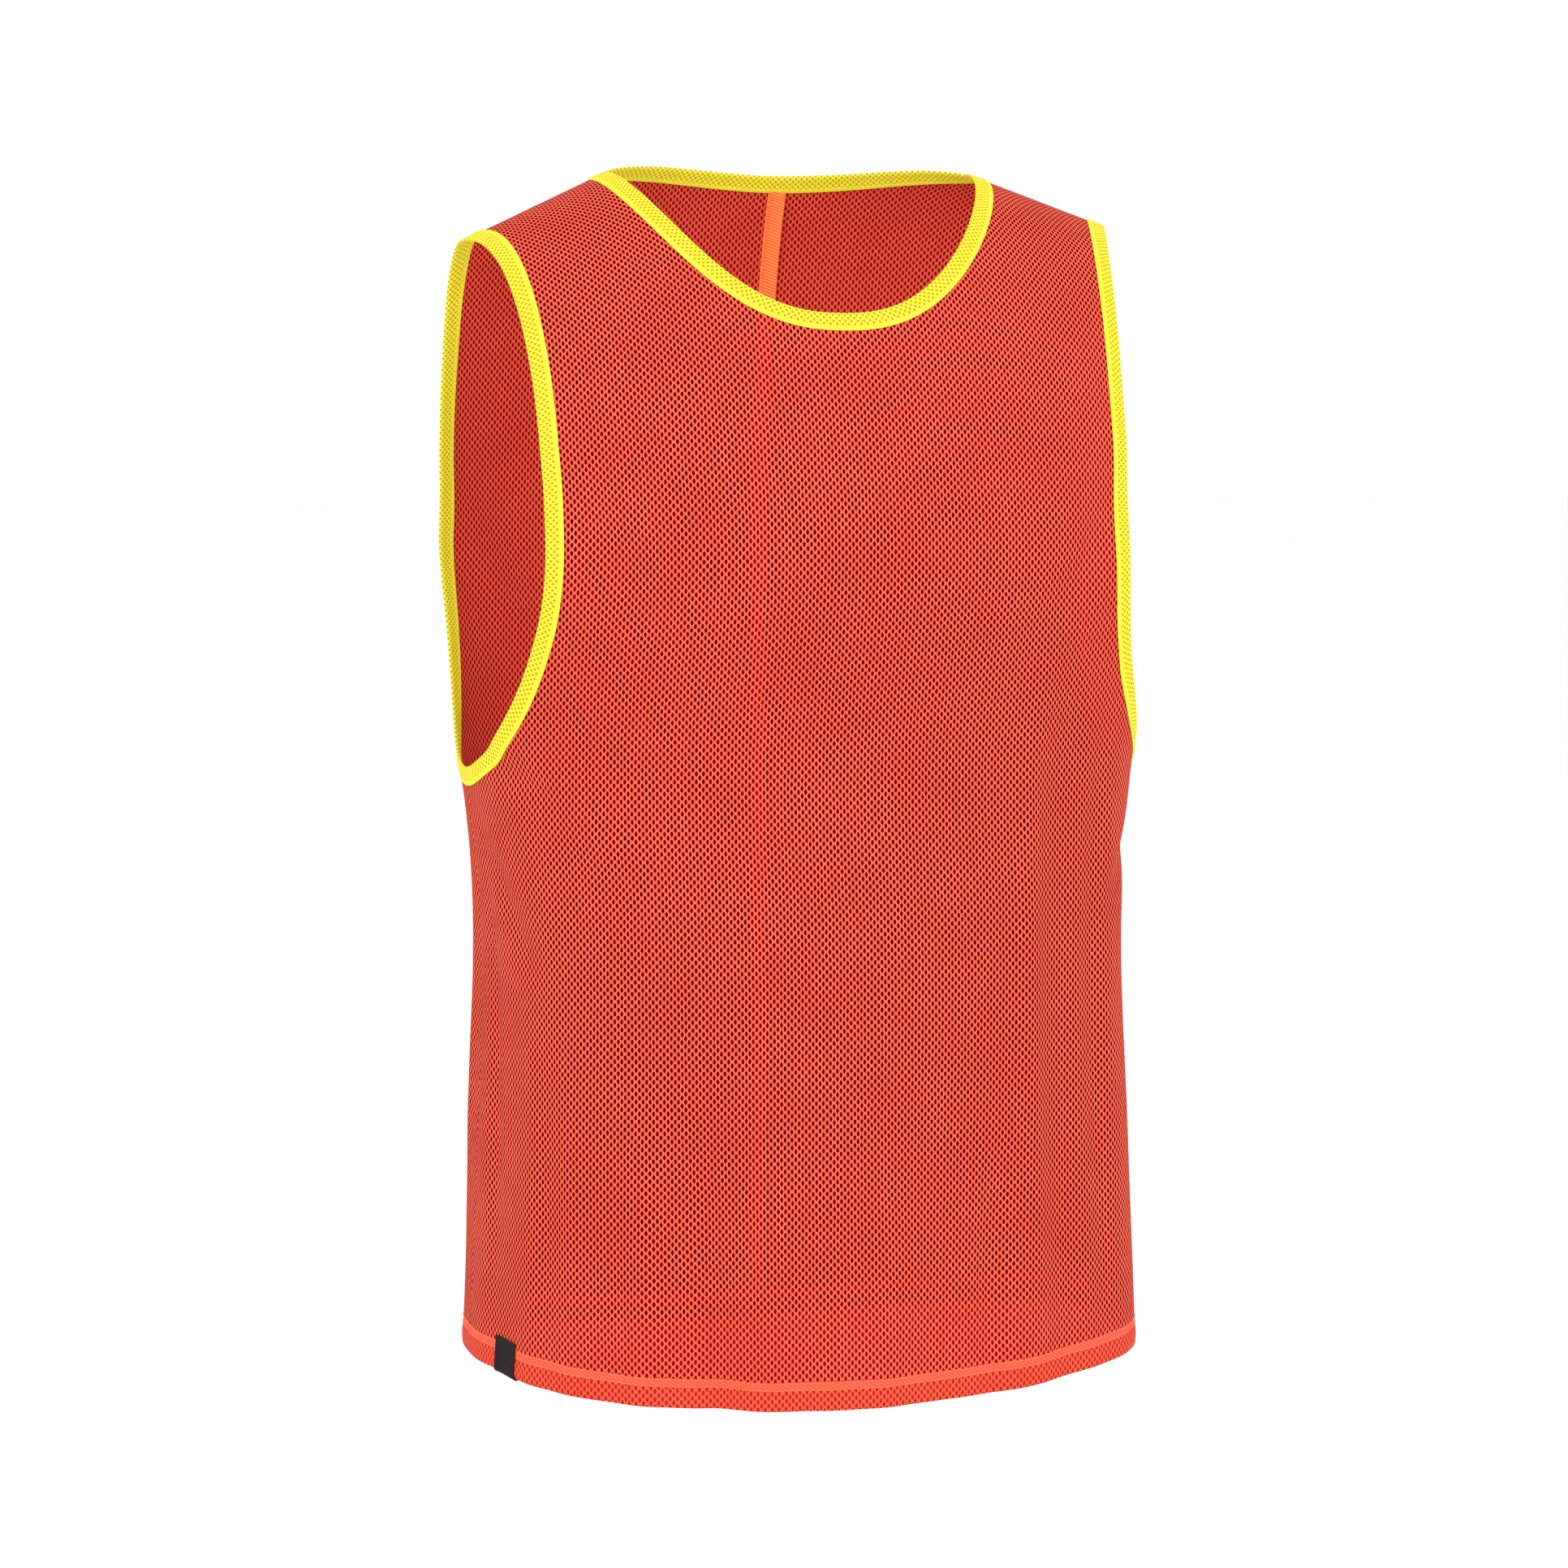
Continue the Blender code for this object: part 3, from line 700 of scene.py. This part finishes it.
def sewn_material(name, base, light, shade, pitch, slant, painted_glow=0.0):
    """Dense overlocked thread: close slanted loops across the strip, with painted shade between the
    loops and a painted highlight on their crowns.
    """
    tree = Tree(name)
    vector, across, up = tree.cloth_lengths()
    slanted = tree.math("ADD", up, tree.math("MULTIPLY", across, slant))
    loop = tree.math("PINGPONG", tree.math("DIVIDE", slanted, pitch), 0.5)
    fibre = tree.noise(vector, 1800.0, 2.0)
    crown = tree.ramp(loop, 0.05, 0.40)
    # painted shade between the loops
    colour = tree.mix(crown, shade, base)
    # painted highlight on the loops' crowns
    colour = tree.mix(tree.math("MULTIPLY", crown, fibre), colour, light)
    tree.put(tree.cloth.inputs["Base Color"], colour)
    tree.bump(tree.math("ADD", crown, tree.math("MULTIPLY", fibre, 0.5)), 0.5, 0.0003)
    return tree.finish(0.7, 0.0, light, (base, painted_glow) if painted_glow else None)


def thread_material(name, base, light):
    """Spun sewing thread."""
    tree = Tree(name)
    place = tree.nodes.new("ShaderNodeTexCoord").outputs["Object"]
    fibre = tree.noise(place, 2200.0, 1.0)
    tree.put(tree.cloth.inputs["Base Color"], tree.mix(fibre, base, light))
    tree.bump(fibre, 0.3, 0.0002)
    return tree.finish(0.5, 0.1, light)


def ribbon_material(name, base, light):
    """Dark woven ribbon with fine ribs, their tops painted lighter as a painted highlight."""
    tree = Tree(name)
    vector, across, up = tree.cloth_lengths()
    weft = tree.math("PINGPONG", tree.math("DIVIDE", up, 0.00045), 0.5)
    warp = tree.math("PINGPONG", tree.math("DIVIDE", across, 0.00035), 0.5)
    weave = tree.math("MULTIPLY", tree.ramp(weft, 0.05, 0.4), tree.ramp(warp, 0.0, 0.45, 0.55, 1.0))
    tree.put(tree.cloth.inputs["Base Color"], tree.mix(weave, base, light))
    tree.bump(weave, 0.5, 0.0002)
    return tree.finish(0.6, 0.05, light)


ORANGE = linear(191, 72, 54)
ORANGE_PAINTED_HIGHLIGHT = linear(234, 116, 94)
ORANGE_PAINTED_SHADE_AND_PATCHES = linear(164, 20, 12)
ORANGE_PAINTED_HOLES = linear(150, 6, 4)
# the hem layer's yarn; the hem strip also uses it as painted shade between its loops
HEM_ORANGE = linear(192, 66, 46)
HEM_PAINTED_HIGHLIGHT = linear(222, 98, 74)
STRIP_ORANGE = linear(204, 76, 54)
HEM_PAINTED_HOLES = linear(140, 14, 8)
SEAM_ORANGE = linear(242, 122, 64)
# painted highlight on the overlock's loops; also the orange thread's lighter fibres
SEAM_LIGHT = linear(255, 150, 92)
SEAM_PAINTED_SHADE = linear(236, 84, 40)
YELLOW = linear(194, 194, 46)
# painted highlight on the bindings' strands and border loops; also the yellow thread's lighter
# fibres
YELLOW_LIGHT = linear(214, 216, 88)
# painted shade at the bindings' hole rims and between their border loops; also their random darker
# patches and the yellow thread's own colour
YELLOW_SHADE = linear(196, 186, 24)
YELLOW_PAINTED_HOLES = linear(150, 96, 4)
BLACK = linear(16, 11, 13)
BLACK_PAINTED_HIGHLIGHT = linear(38, 30, 33)
# painted shade: the dark red tint laid on all that is seen through the body mesh's holes
HOLE_PAINTED_SHADE_TINT = (0.55, 0.05, 0.04, 1.0)  # of one face; a wall has two
# painted glow of the orange cloth: emission that brightens its shaded insides, partly also the
# yarn's fluorescent brightness
PAINTED_GLOW = 0.20
# painted glow of the yellow bindings: emission that brightens their shaded inner faces
BAND_PAINTED_GLOW = 0.45

body_mesh = knit_material(
    "body_mesh", (ORANGE, ORANGE_PAINTED_HIGHLIGHT, ORANGE_PAINTED_SHADE_AND_PATCHES, ORANGE_PAINTED_HOLES), MESH_PITCH, 0.475,
    see_through=HOLE_PAINTED_SHADE_TINT, painted_glow=PAINTED_GLOW)
double_mesh = knit_material(
    "double_mesh", (HEM_ORANGE, HEM_PAINTED_HIGHLIGHT, ORANGE_PAINTED_SHADE_AND_PATCHES, HEM_PAINTED_HOLES), MESH_PITCH, 0.45, painted_glow=PAINTED_GLOW)
hem_strip = sewn_material(
    "hem_strip", STRIP_ORANGE, HEM_PAINTED_HIGHLIGHT, HEM_ORANGE, 0.0021, 0.6, PAINTED_GLOW)
overlock = sewn_material("overlock", SEAM_ORANGE, SEAM_LIGHT, SEAM_PAINTED_SHADE, 0.0019, 0.35, PAINTED_GLOW)
band_mesh = knit_material(
    "band_mesh", (YELLOW, YELLOW_LIGHT, YELLOW_SHADE, YELLOW_PAINTED_HOLES), BAND_PITCH, 0.40,
    painted_glow=BAND_PAINTED_GLOW, narrow=0.20)
band_border = sewn_material("band_border", YELLOW, YELLOW_LIGHT, YELLOW_SHADE, 0.0014, 0.5,
                            BAND_PAINTED_GLOW)
yellow_thread = thread_material("yellow_thread", YELLOW_SHADE, YELLOW_LIGHT)
orange_thread = thread_material("orange_thread", ORANGE, SEAM_LIGHT)
tab_weave = ribbon_material("tab_weave", BLACK, BLACK_PAINTED_HIGHLIGHT)


# Pieces

def place_piece(piece, slot, *nodes):
    """Ride on the body and stand for the CAD nodes; the slot is not used."""
    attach(piece, "root")
    if nodes:
        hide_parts(*nodes)
    return piece


def flat_size(piece):
    """Width, length and area of a piece's cut, from its cloth lengths."""
    mesh = piece.data
    uv = np.empty(len(mesh.loops) * 2, np.float32)
    mesh.uv_layers["cloth"].data.foreach_get("uv", uv)
    uv = uv.reshape(-1, 4, 2).astype(float)
    one, other = uv[:, 2] - uv[:, 0], uv[:, 3] - uv[:, 1]
    area = np.abs(one[:, 0] * other[:, 1] - one[:, 1] * other[:, 0]).sum() / 4
    width, length = uv.reshape(-1, 2).max(0) - uv.reshape(-1, 2).min(0)
    return float(width), float(length), float(area)


def declare_sheet(piece):
    """Work out a cloth piece's flat size; nothing is done with it."""
    width, length, area = flat_size(piece)


def seam_groove(across, level, centre_seam):
    """How deep the cloth is drawn in beside its seams."""
    beside_side = (1 - np.abs(across)) * QUARTER_LENGTH
    beside_shoulder = (TOP_LEVEL - level) * 0.5
    drawn = np.exp(-((beside_side / GROOVE_BREADTH) ** 2))
    drawn = drawn + np.exp(-((beside_shoulder / GROOVE_BREADTH) ** 2))
    if centre_seam:
        drawn = drawn + np.exp(-((across * QUARTER_LENGTH / GROOVE_BREADTH) ** 2))
    return GROOVE_DEPTH * np.minimum(drawn, 1)


def hem_puff(level, hem):
    """How far the turned hem stands proud, drawn in at its stitch lines."""
    height = np.clip(level - hem, 0, None)
    puff = HEM_PUFF * np.sin(pi * np.clip(height / HEM_BAND, 0, 1)) ** 0.7
    for line in HEM_STITCH_LINES:
        puff = puff - 0.00022 * np.exp(-(((height - line) / 0.0008) ** 2))
    return puff


def add_panel(name, side, across, level, centre_seam, *nodes):
    """A body panel: one closed thin shell, with the hem's fold at its foot."""
    hem = level[0]
    groove = seam_groove(across, level, centre_seam) - hem_puff(level, hem[None, :])
    outer = moved_out(side, across, level, CLOTH_OUTER - groove)
    inner = moved_out(side, across, level, CLOTH_INNER - groove)
    u, v = cloth_lengths(side, across, level)
    middle = (CLOTH_OUTER + CLOTH_INNER) / 2
    half = (CLOTH_OUTER - CLOTH_INNER) / 2
    out = outward(side, across[0], hem)
    down = worn(side, across[0], hem) - worn(side, across[0], hem + 0.002)
    down /= np.linalg.norm(down, axis=-1, keepdims=True)
    base = worn(side, across[0], hem) + out * (middle - HEM_FOLD_RADIUS)
    fold_outer, fold_inner, fold_v = [], [], []
    for turn in np.linspace(pi, 0, 9)[:-1]:
        direction = out * cos(turn) + down * sin(turn)
        fold_outer.append(base + direction * (HEM_FOLD_RADIUS + half))
        fold_inner.append(base + direction * (HEM_FOLD_RADIUS - half))
        fold_v.append(v[0] - HEM_FOLD_RADIUS * turn)
    outer = np.concatenate([fold_outer, outer])
    inner = np.concatenate([fold_inner, inner])
    v = np.concatenate([fold_v, v])
    u = np.concatenate([np.repeat(u[:1], len(fold_v), axis=0), u])
    heights = np.concatenate([np.full(len(fold_v), -1.0), (level - hem)[:, 0]])
    middles = (heights[1:] + heights[:-1]) / 2
    row_slots = np.where(middles < HEM_BAND, 1, np.where(middles < HEM_STRIP, 2, 0))
    made = wall(name, outer, inner, np.stack([u, v], -1), [body_mesh, double_mesh, hem_strip],
                row_slots, flip=side == BACK)
    return place_piece(made, "body_mesh", *nodes)


def add_hem_turn(name, side, across, hem, *nodes):
    """The turned-up layer inside the hem, from the fold to its overlocked edge."""
    heights = np.array([0, 0.003, 0.006, 0.009, HEM_BAND, 0.0124, 0.0140, 0.0152])
    level = hem[None, :] + heights[:, None]
    across = np.repeat(across[None, :], len(heights), axis=0)
    lining = -WALL - SEAM_GAP
    outer = moved_out(side, across, level, lining + CLOTH_OUTER)
    inner = moved_out(side, across, level, lining + CLOTH_INNER)
    u, v = cloth_lengths(side, across, level)
    row_slots = np.where(heights[1:] <= HEM_BAND, 0, 1)
    made = wall(name, outer, inner, np.stack([u, v], -1), [double_mesh, overlock], row_slots,
                flip=side == BACK)
    return place_piece(made, "body_mesh", *nodes)


def mirrored(grid):
    """A half grid joined to its mirror image."""
    across, level = grid
    return np.hstack([-across[:, :0:-1], across]), np.hstack([level[:, :0:-1], level])


def half(grid, x_side):
    """A half grid on the +X or -X side."""
    across, level = grid
    if x_side < 0:
        return -across[:, ::-1], level[:, ::-1]
    return across, level


def neck_loop(distance):
    """Chart places once round the neck, from the centre front over the +X shoulder."""
    runs = []
    for side, x_side, order in ((FRONT, 1, 1), (BACK, 1, -1), (BACK, -1, 1), (FRONT, -1, -1)):
        across, level = neck_edge(side, distance, BAND_STEPS)
        places = np.stack([x_side * across, level], 1)[::order]
        runs.append((side, places[:-1]))
    return runs


def arm_loop(x_side):
    """Chart places once round an armhole, from the side seam up the front."""
    def loop(distance):
        runs = []
        for side, order in ((FRONT, 1), (BACK, -1)):
            across, level = arm_edge(side, distance, 2 * BAND_STEPS)
            runs.append((side, np.stack([x_side * across, level], 1)[::order][:-1]))
        return runs
    return loop


def loop_points(runs, depth):
    """Points once round, at a depth from the worn surface."""
    return np.concatenate([moved_out(side, at[:, 0], at[:, 1], depth) for side, at in runs])


def loop_normals(runs):
    """Unit normals once round."""
    return np.concatenate([outward(side, at[:, 0], at[:, 1]) for side, at in runs])


def add_band(name, loop, *nodes):
    """A folded binding: a strip of mesh folded round the edge, with a sewn border."""
    middle = -WALL / 2
    there, back = BAND_PROFILE, BAND_PROFILE[-2::-1]
    outline = [(at, half, at) for at, half in there]
    outline += [(at, -half, 2 * BINDING_WIDTH - at) for at, half in back]
    lining = []
    for at, half, place in outline:
        at = min(at, BINDING_WIDTH - 1.5 * BAND_CLOTH)
        lining.append((at, np.sign(half) * max(abs(half) - BAND_CLOTH, 0), place))
    outline += lining[::-1]
    edge = loop_points(loop(0), 0)
    run = run_lengths(edge, closed=True)
    repeats = max(1, round(run[-1] / BAND_PITCH[0]))
    along = run / run[-1] * repeats * BAND_PITCH[0]
    wobble = 0.00012 * np.sin(run[:-1] / 0.017 + 1.3 * np.sin(run[:-1] / 0.041))
    pucker = 0.00006 * np.sin(2 * pi * run[:-1] / STITCH_PITCH)
    columns = []
    for at, half, _ in outline:
        runs = loop(BINDING_WIDTH - at)
        shift = wobble + (pucker * np.sign(half) if at < BAND_BORDER else 0)
        columns.append(loop_points(runs, 0) + loop_normals(runs) * (middle + half + shift)[:, None])
    around = np.array([place for _, _, place in outline] + [0])
    from_edge = np.minimum(around, 2 * BINDING_WIDTH - around)
    slots = np.where(np.maximum(from_edge[:-1], from_edge[1:]) <= BAND_BORDER + 1e-6, 1, 0)
    made = tube(name, np.stack(columns, axis=1), along, around, [band_mesh, band_border],
                corner_slots=slots)
    place_piece(made, "binding_mesh", *nodes)
    for face, sign in (("outer", 1), ("inner", -1)):
        runs = loop(BINDING_WIDTH - NEEDLE_LINE)
        thread = stitch_row(f"{name}_stitches_{face}", loop_points(runs, middle + sign * 0.00102),
                            loop_normals(runs) * sign, STITCH_PITCH, yellow_thread, closed=True)
        place_piece(thread, "binding_mesh")
    return made


def add_seam_ridge(name, across, level):
    """A low rounded ridge of overlocked thread along a seam, inside the cloth."""
    path = moved_out(FRONT, across, level, -RIDGE_DEPTH)
    normals = outward(FRONT, across, level)
    tangent = np.gradient(path, axis=0)
    side = np.cross(tangent, normals)
    side /= np.linalg.norm(side, axis=-1, keepdims=True)
    turns = np.arange(10) / 10 * 2 * pi
    sections = (path[:, None] + side[:, None] * (np.cos(turns) * RIDGE_HALF_WIDTH)[:, None]
                + normals[:, None] * (np.sin(turns) * RIDGE_HALF_HEIGHT)[:, None])
    around = np.linspace(0, 2 * RIDGE_HALF_WIDTH, len(turns) + 1)
    made = tube_swapped(name, sections, run_lengths(path), around, [overlock])
    return place_piece(made, "body_mesh")


def tube_swapped(name, sections, along, around, materials):
    """An open tube whose cloth length up runs along it."""
    made = tube(name, sections, along, around, materials, closed=False)
    layer = made.data.uv_layers["cloth"].data
    uv = np.empty(len(layer) * 2, np.float32)
    layer.foreach_get("uv", uv)
    layer.foreach_set("uv", uv.reshape(-1, 2)[:, ::-1].reshape(-1).copy())
    return made


def add_side_seam(name, x_side):
    """From the hem's strip up to the armhole's binding."""
    level = np.linspace(SIDE_RISE + HEM_STRIP, ARM_FOOT - BINDING_WIDTH, 160)
    return add_seam_ridge(name, np.full_like(level, x_side), level)


def add_shoulder_seam(name, x_side):
    """From the neck's binding out to the armhole's."""
    start = neck_edge(FRONT, BINDING_WIDTH, 4)[0][-1]
    end = arm_edge(FRONT, BINDING_WIDTH, 4)[0][-1]
    across = np.linspace(start, end, 60) * x_side
    return add_seam_ridge(name, across, np.full_like(across, TOP_LEVEL))


def add_back_seam():
    """The centre-back seam's allowance: an overlocked strip that lies to the +X side."""
    top = neck_edge(BACK, BINDING_WIDTH - 0.001, 4)[1][0]
    level = np.linspace(HEM_STRIP + 0.002, top, 260)
    shares = np.linspace(0, 1, 13)
    across = np.repeat(shares[None, :] * SEAM_ALLOWANCE / QUARTER_LENGTH, len(level), axis=0)
    level = np.repeat(level[:, None], len(shares), axis=1)
    lift = 0.0008 * shares**3 * (1 + 0.4 * np.sin(level / 0.021)) + 0.0005 * np.exp(
        -(((shares - 0.12) / 0.1) ** 2))
    wave = 0.00015 * np.sin(2 * pi * level / 0.0036) * shares
    depth = -ALLOWANCE_DEPTH - lift - wave
    outer = moved_out(BACK, across, level, depth)
    inner = moved_out(BACK, across, level, depth - ALLOWANCE_CLOTH)
    u, v = cloth_lengths(BACK, across, level)
    made = wall("back_seam_allowance", outer, inner, np.stack([u, v], -1), [overlock],
                flip=True)
    place_piece(made, "body_mesh", "back_seam")
    line = level[:, 0]
    at = np.full_like(line, ALLOWANCE_NEEDLE_LINE / QUARTER_LENGTH)
    needle = stitch_row("back_seam_stitches", moved_out(BACK, at, line, -0.0025),
                        -outward(BACK, at, line), ALLOWANCE_STITCH_PITCH, orange_thread)
    place_piece(needle, "body_mesh")
    declare_sheet(made)
    return made


def add_hem_stitches(name, side, across, hem):
    """Two rows of cover stitches round the outside of one hem piece."""
    rows = []
    for index, height in enumerate(HEM_STITCH_LINES):
        level = hem + height
        points = moved_out(side, across, level, CLOTH_OUTER - 0.0001)
        row = stitch_row(f"{name}_stitches_{index}", points, outward(side, across, level),
                         HEM_STITCH_PITCH, orange_thread, radius=HEM_THREAD_RADIUS)
        rows.append(place_piece(row, "body_mesh"))
    return rows


def add_tab():
    """The bare woven tab, folded round the hem's edge."""
    columns = np.linspace(TAB_ACROSS[0], TAB_ACROSS[1], 13)
    hem = SIDE_RISE * np.interp(np.abs(columns), SHARE, WIDE) ** 2
    out = outward(FRONT, columns, hem + 0.004)
    base = worn(FRONT, columns, hem)
    up = worn(FRONT, columns, hem + TAB_HEIGHT) - base
    up /= np.linalg.norm(up, axis=-1, keepdims=True)
    inner_face = -2 * WALL - 2 * SEAM_GAP
    radius = (SEAM_GAP - inner_face) / 2 + TAB_CLEARANCE
    centre = (SEAM_GAP + inner_face) / 2
    heights = np.linspace(TAB_HEIGHT, TAB_FOLD_START, 14)
    path = [(SEAM_GAP + TAB_CLEARANCE, height) for height in heights]
    for turn in np.linspace(0, pi, 11):
        path.append((centre + radius * cos(turn), TAB_FOLD_CENTRE - radius * sin(turn)))
    heights = np.linspace(TAB_FOLD_START, TAB_INNER_END, 10)
    path += [(inner_face - TAB_CLEARANCE, height) for height in heights]
    path = np.array(path)
    tangent = np.gradient(path, axis=0)
    tangent /= np.linalg.norm(tangent, axis=1, keepdims=True)
    away = np.stack([-tangent[:, 1], tangent[:, 0]], 1)
    grids = []
    for thickness in (TAB_CLOTH, 0.0):
        at = path + away * thickness
        grids.append(base[None] + out[None] * at[:, :1, None] + up[None] * at[:, 1:, None])
    width = (columns - columns[0]) * QUARTER_LENGTH
    run = run_lengths(np.concatenate([path, np.zeros((len(path), 1))], axis=1))
    uv = np.stack(np.broadcast_arrays(width[None, :], run[:, None]), -1)
    made = wall("tab_ribbon", grids[0], grids[1], uv, [tab_weave], flip=True)
    place_piece(made, "woven_tab", "hem_tab")
    declare_sheet(made)
    return made


def add_bib():
    """All the pieces."""
    front_half, back_half = panel_grid(FRONT), panel_grid(BACK)
    panels = [("front", FRONT, mirrored(front_half), False),
              ("back_left", BACK, half(back_half, 1), True),
              ("back_right", BACK, half(back_half, -1), True)]
    for name, side, (across, level), centre_seam in panels:
        panel = add_panel(name + "_mesh", side, across, level, centre_seam, name)
        hem_name = "hem_" + name
        turned = add_hem_turn(hem_name + "_turn", side, across[0], level[0], hem_name)
        rows = add_hem_stitches(hem_name, side, across[0], level[0])
        declare_sheet(panel)
        declare_sheet(turned)
    add_back_seam()
    add_band("neck_band", neck_loop, "neck_binding")
    for name, x_side in (("left", 1), ("right", -1)):
        add_band("arm_band_" + name, arm_loop(x_side), "arm_binding_" + name)
        add_side_seam("side_seam_" + name, x_side)
        add_shoulder_seam("shoulder_seam_" + name, x_side)
    add_tab()


# Stage

def add_floor():
    """Plain pale floor, well below the hem."""
    bpy.ops.mesh.primitive_plane_add(size=60, location=(0, 0, FLOOR_HEIGHT))
    floor = bpy.context.object
    floor.name = "floor"
    tree = Tree("floor")
    tree.cloth.inputs["Base Color"].default_value = (0.99, 0.99, 0.99, 1)
    tree.cloth.inputs["Roughness"].default_value = 0.9
    floor.data.materials.append(tree.material)


def add_light(name, place, size, power, aim=(0, 0, -0.35)):
    """Soft square lamp that faces the bib."""
    data = bpy.data.lights.new(name, "AREA")
    data.shape = "SQUARE"
    data.size = size
    data.energy = power
    lamp = bpy.data.objects.new(name, data)
    lamp.location = place
    direction = Vector(aim) - Vector(place)
    lamp.rotation_euler = direction.to_track_quat("-Z", "Y").to_euler()
    bpy.context.scene.collection.objects.link(lamp)


def add_world():
    """Even pale surroundings."""
    world = bpy.data.worlds.new("studio")
    world.use_nodes = True
    world.node_tree.nodes["Background"].inputs["Color"].default_value = (1, 1, 1, 1)
    world.node_tree.nodes["Background"].inputs["Strength"].default_value = 1.0
    bpy.context.scene.world = world


def add_camera():
    """The photograph's view."""
    right = Vector((cos(CAMERA_TURN), -sin(CAMERA_TURN), 0))
    back = Vector((-sin(CAMERA_TURN) * cos(CAMERA_PITCH), -cos(CAMERA_TURN) * cos(CAMERA_PITCH),
                   sin(CAMERA_PITCH)))
    up = back.cross(right)
    target = Vector(CAMERA_TARGET) + right * CAMERA_TARGET_RIGHT
    data = bpy.data.cameras.new("camera")
    data.sensor_width = SENSOR_WIDTH
    data.lens = FOCAL_PIXELS / PHOTO_SIZE * SENSOR_WIDTH
    data.clip_end = 100
    camera = bpy.data.objects.new("camera", data)
    turned = Matrix((right, up, back)).transposed() @ Matrix.Rotation(CAMERA_ROLL, 3, "Z")
    camera.matrix_world = Matrix.Translation(target + back * CAMERA_DISTANCE) @ turned.to_4x4()
    bpy.context.scene.collection.objects.link(camera)
    bpy.context.scene.camera = camera


add_bib()
add_floor()
add_world()
for lamp in LAMPS:
    add_light(*lamp)
add_camera()
bpy.context.scene.view_settings.view_transform = "Standard"
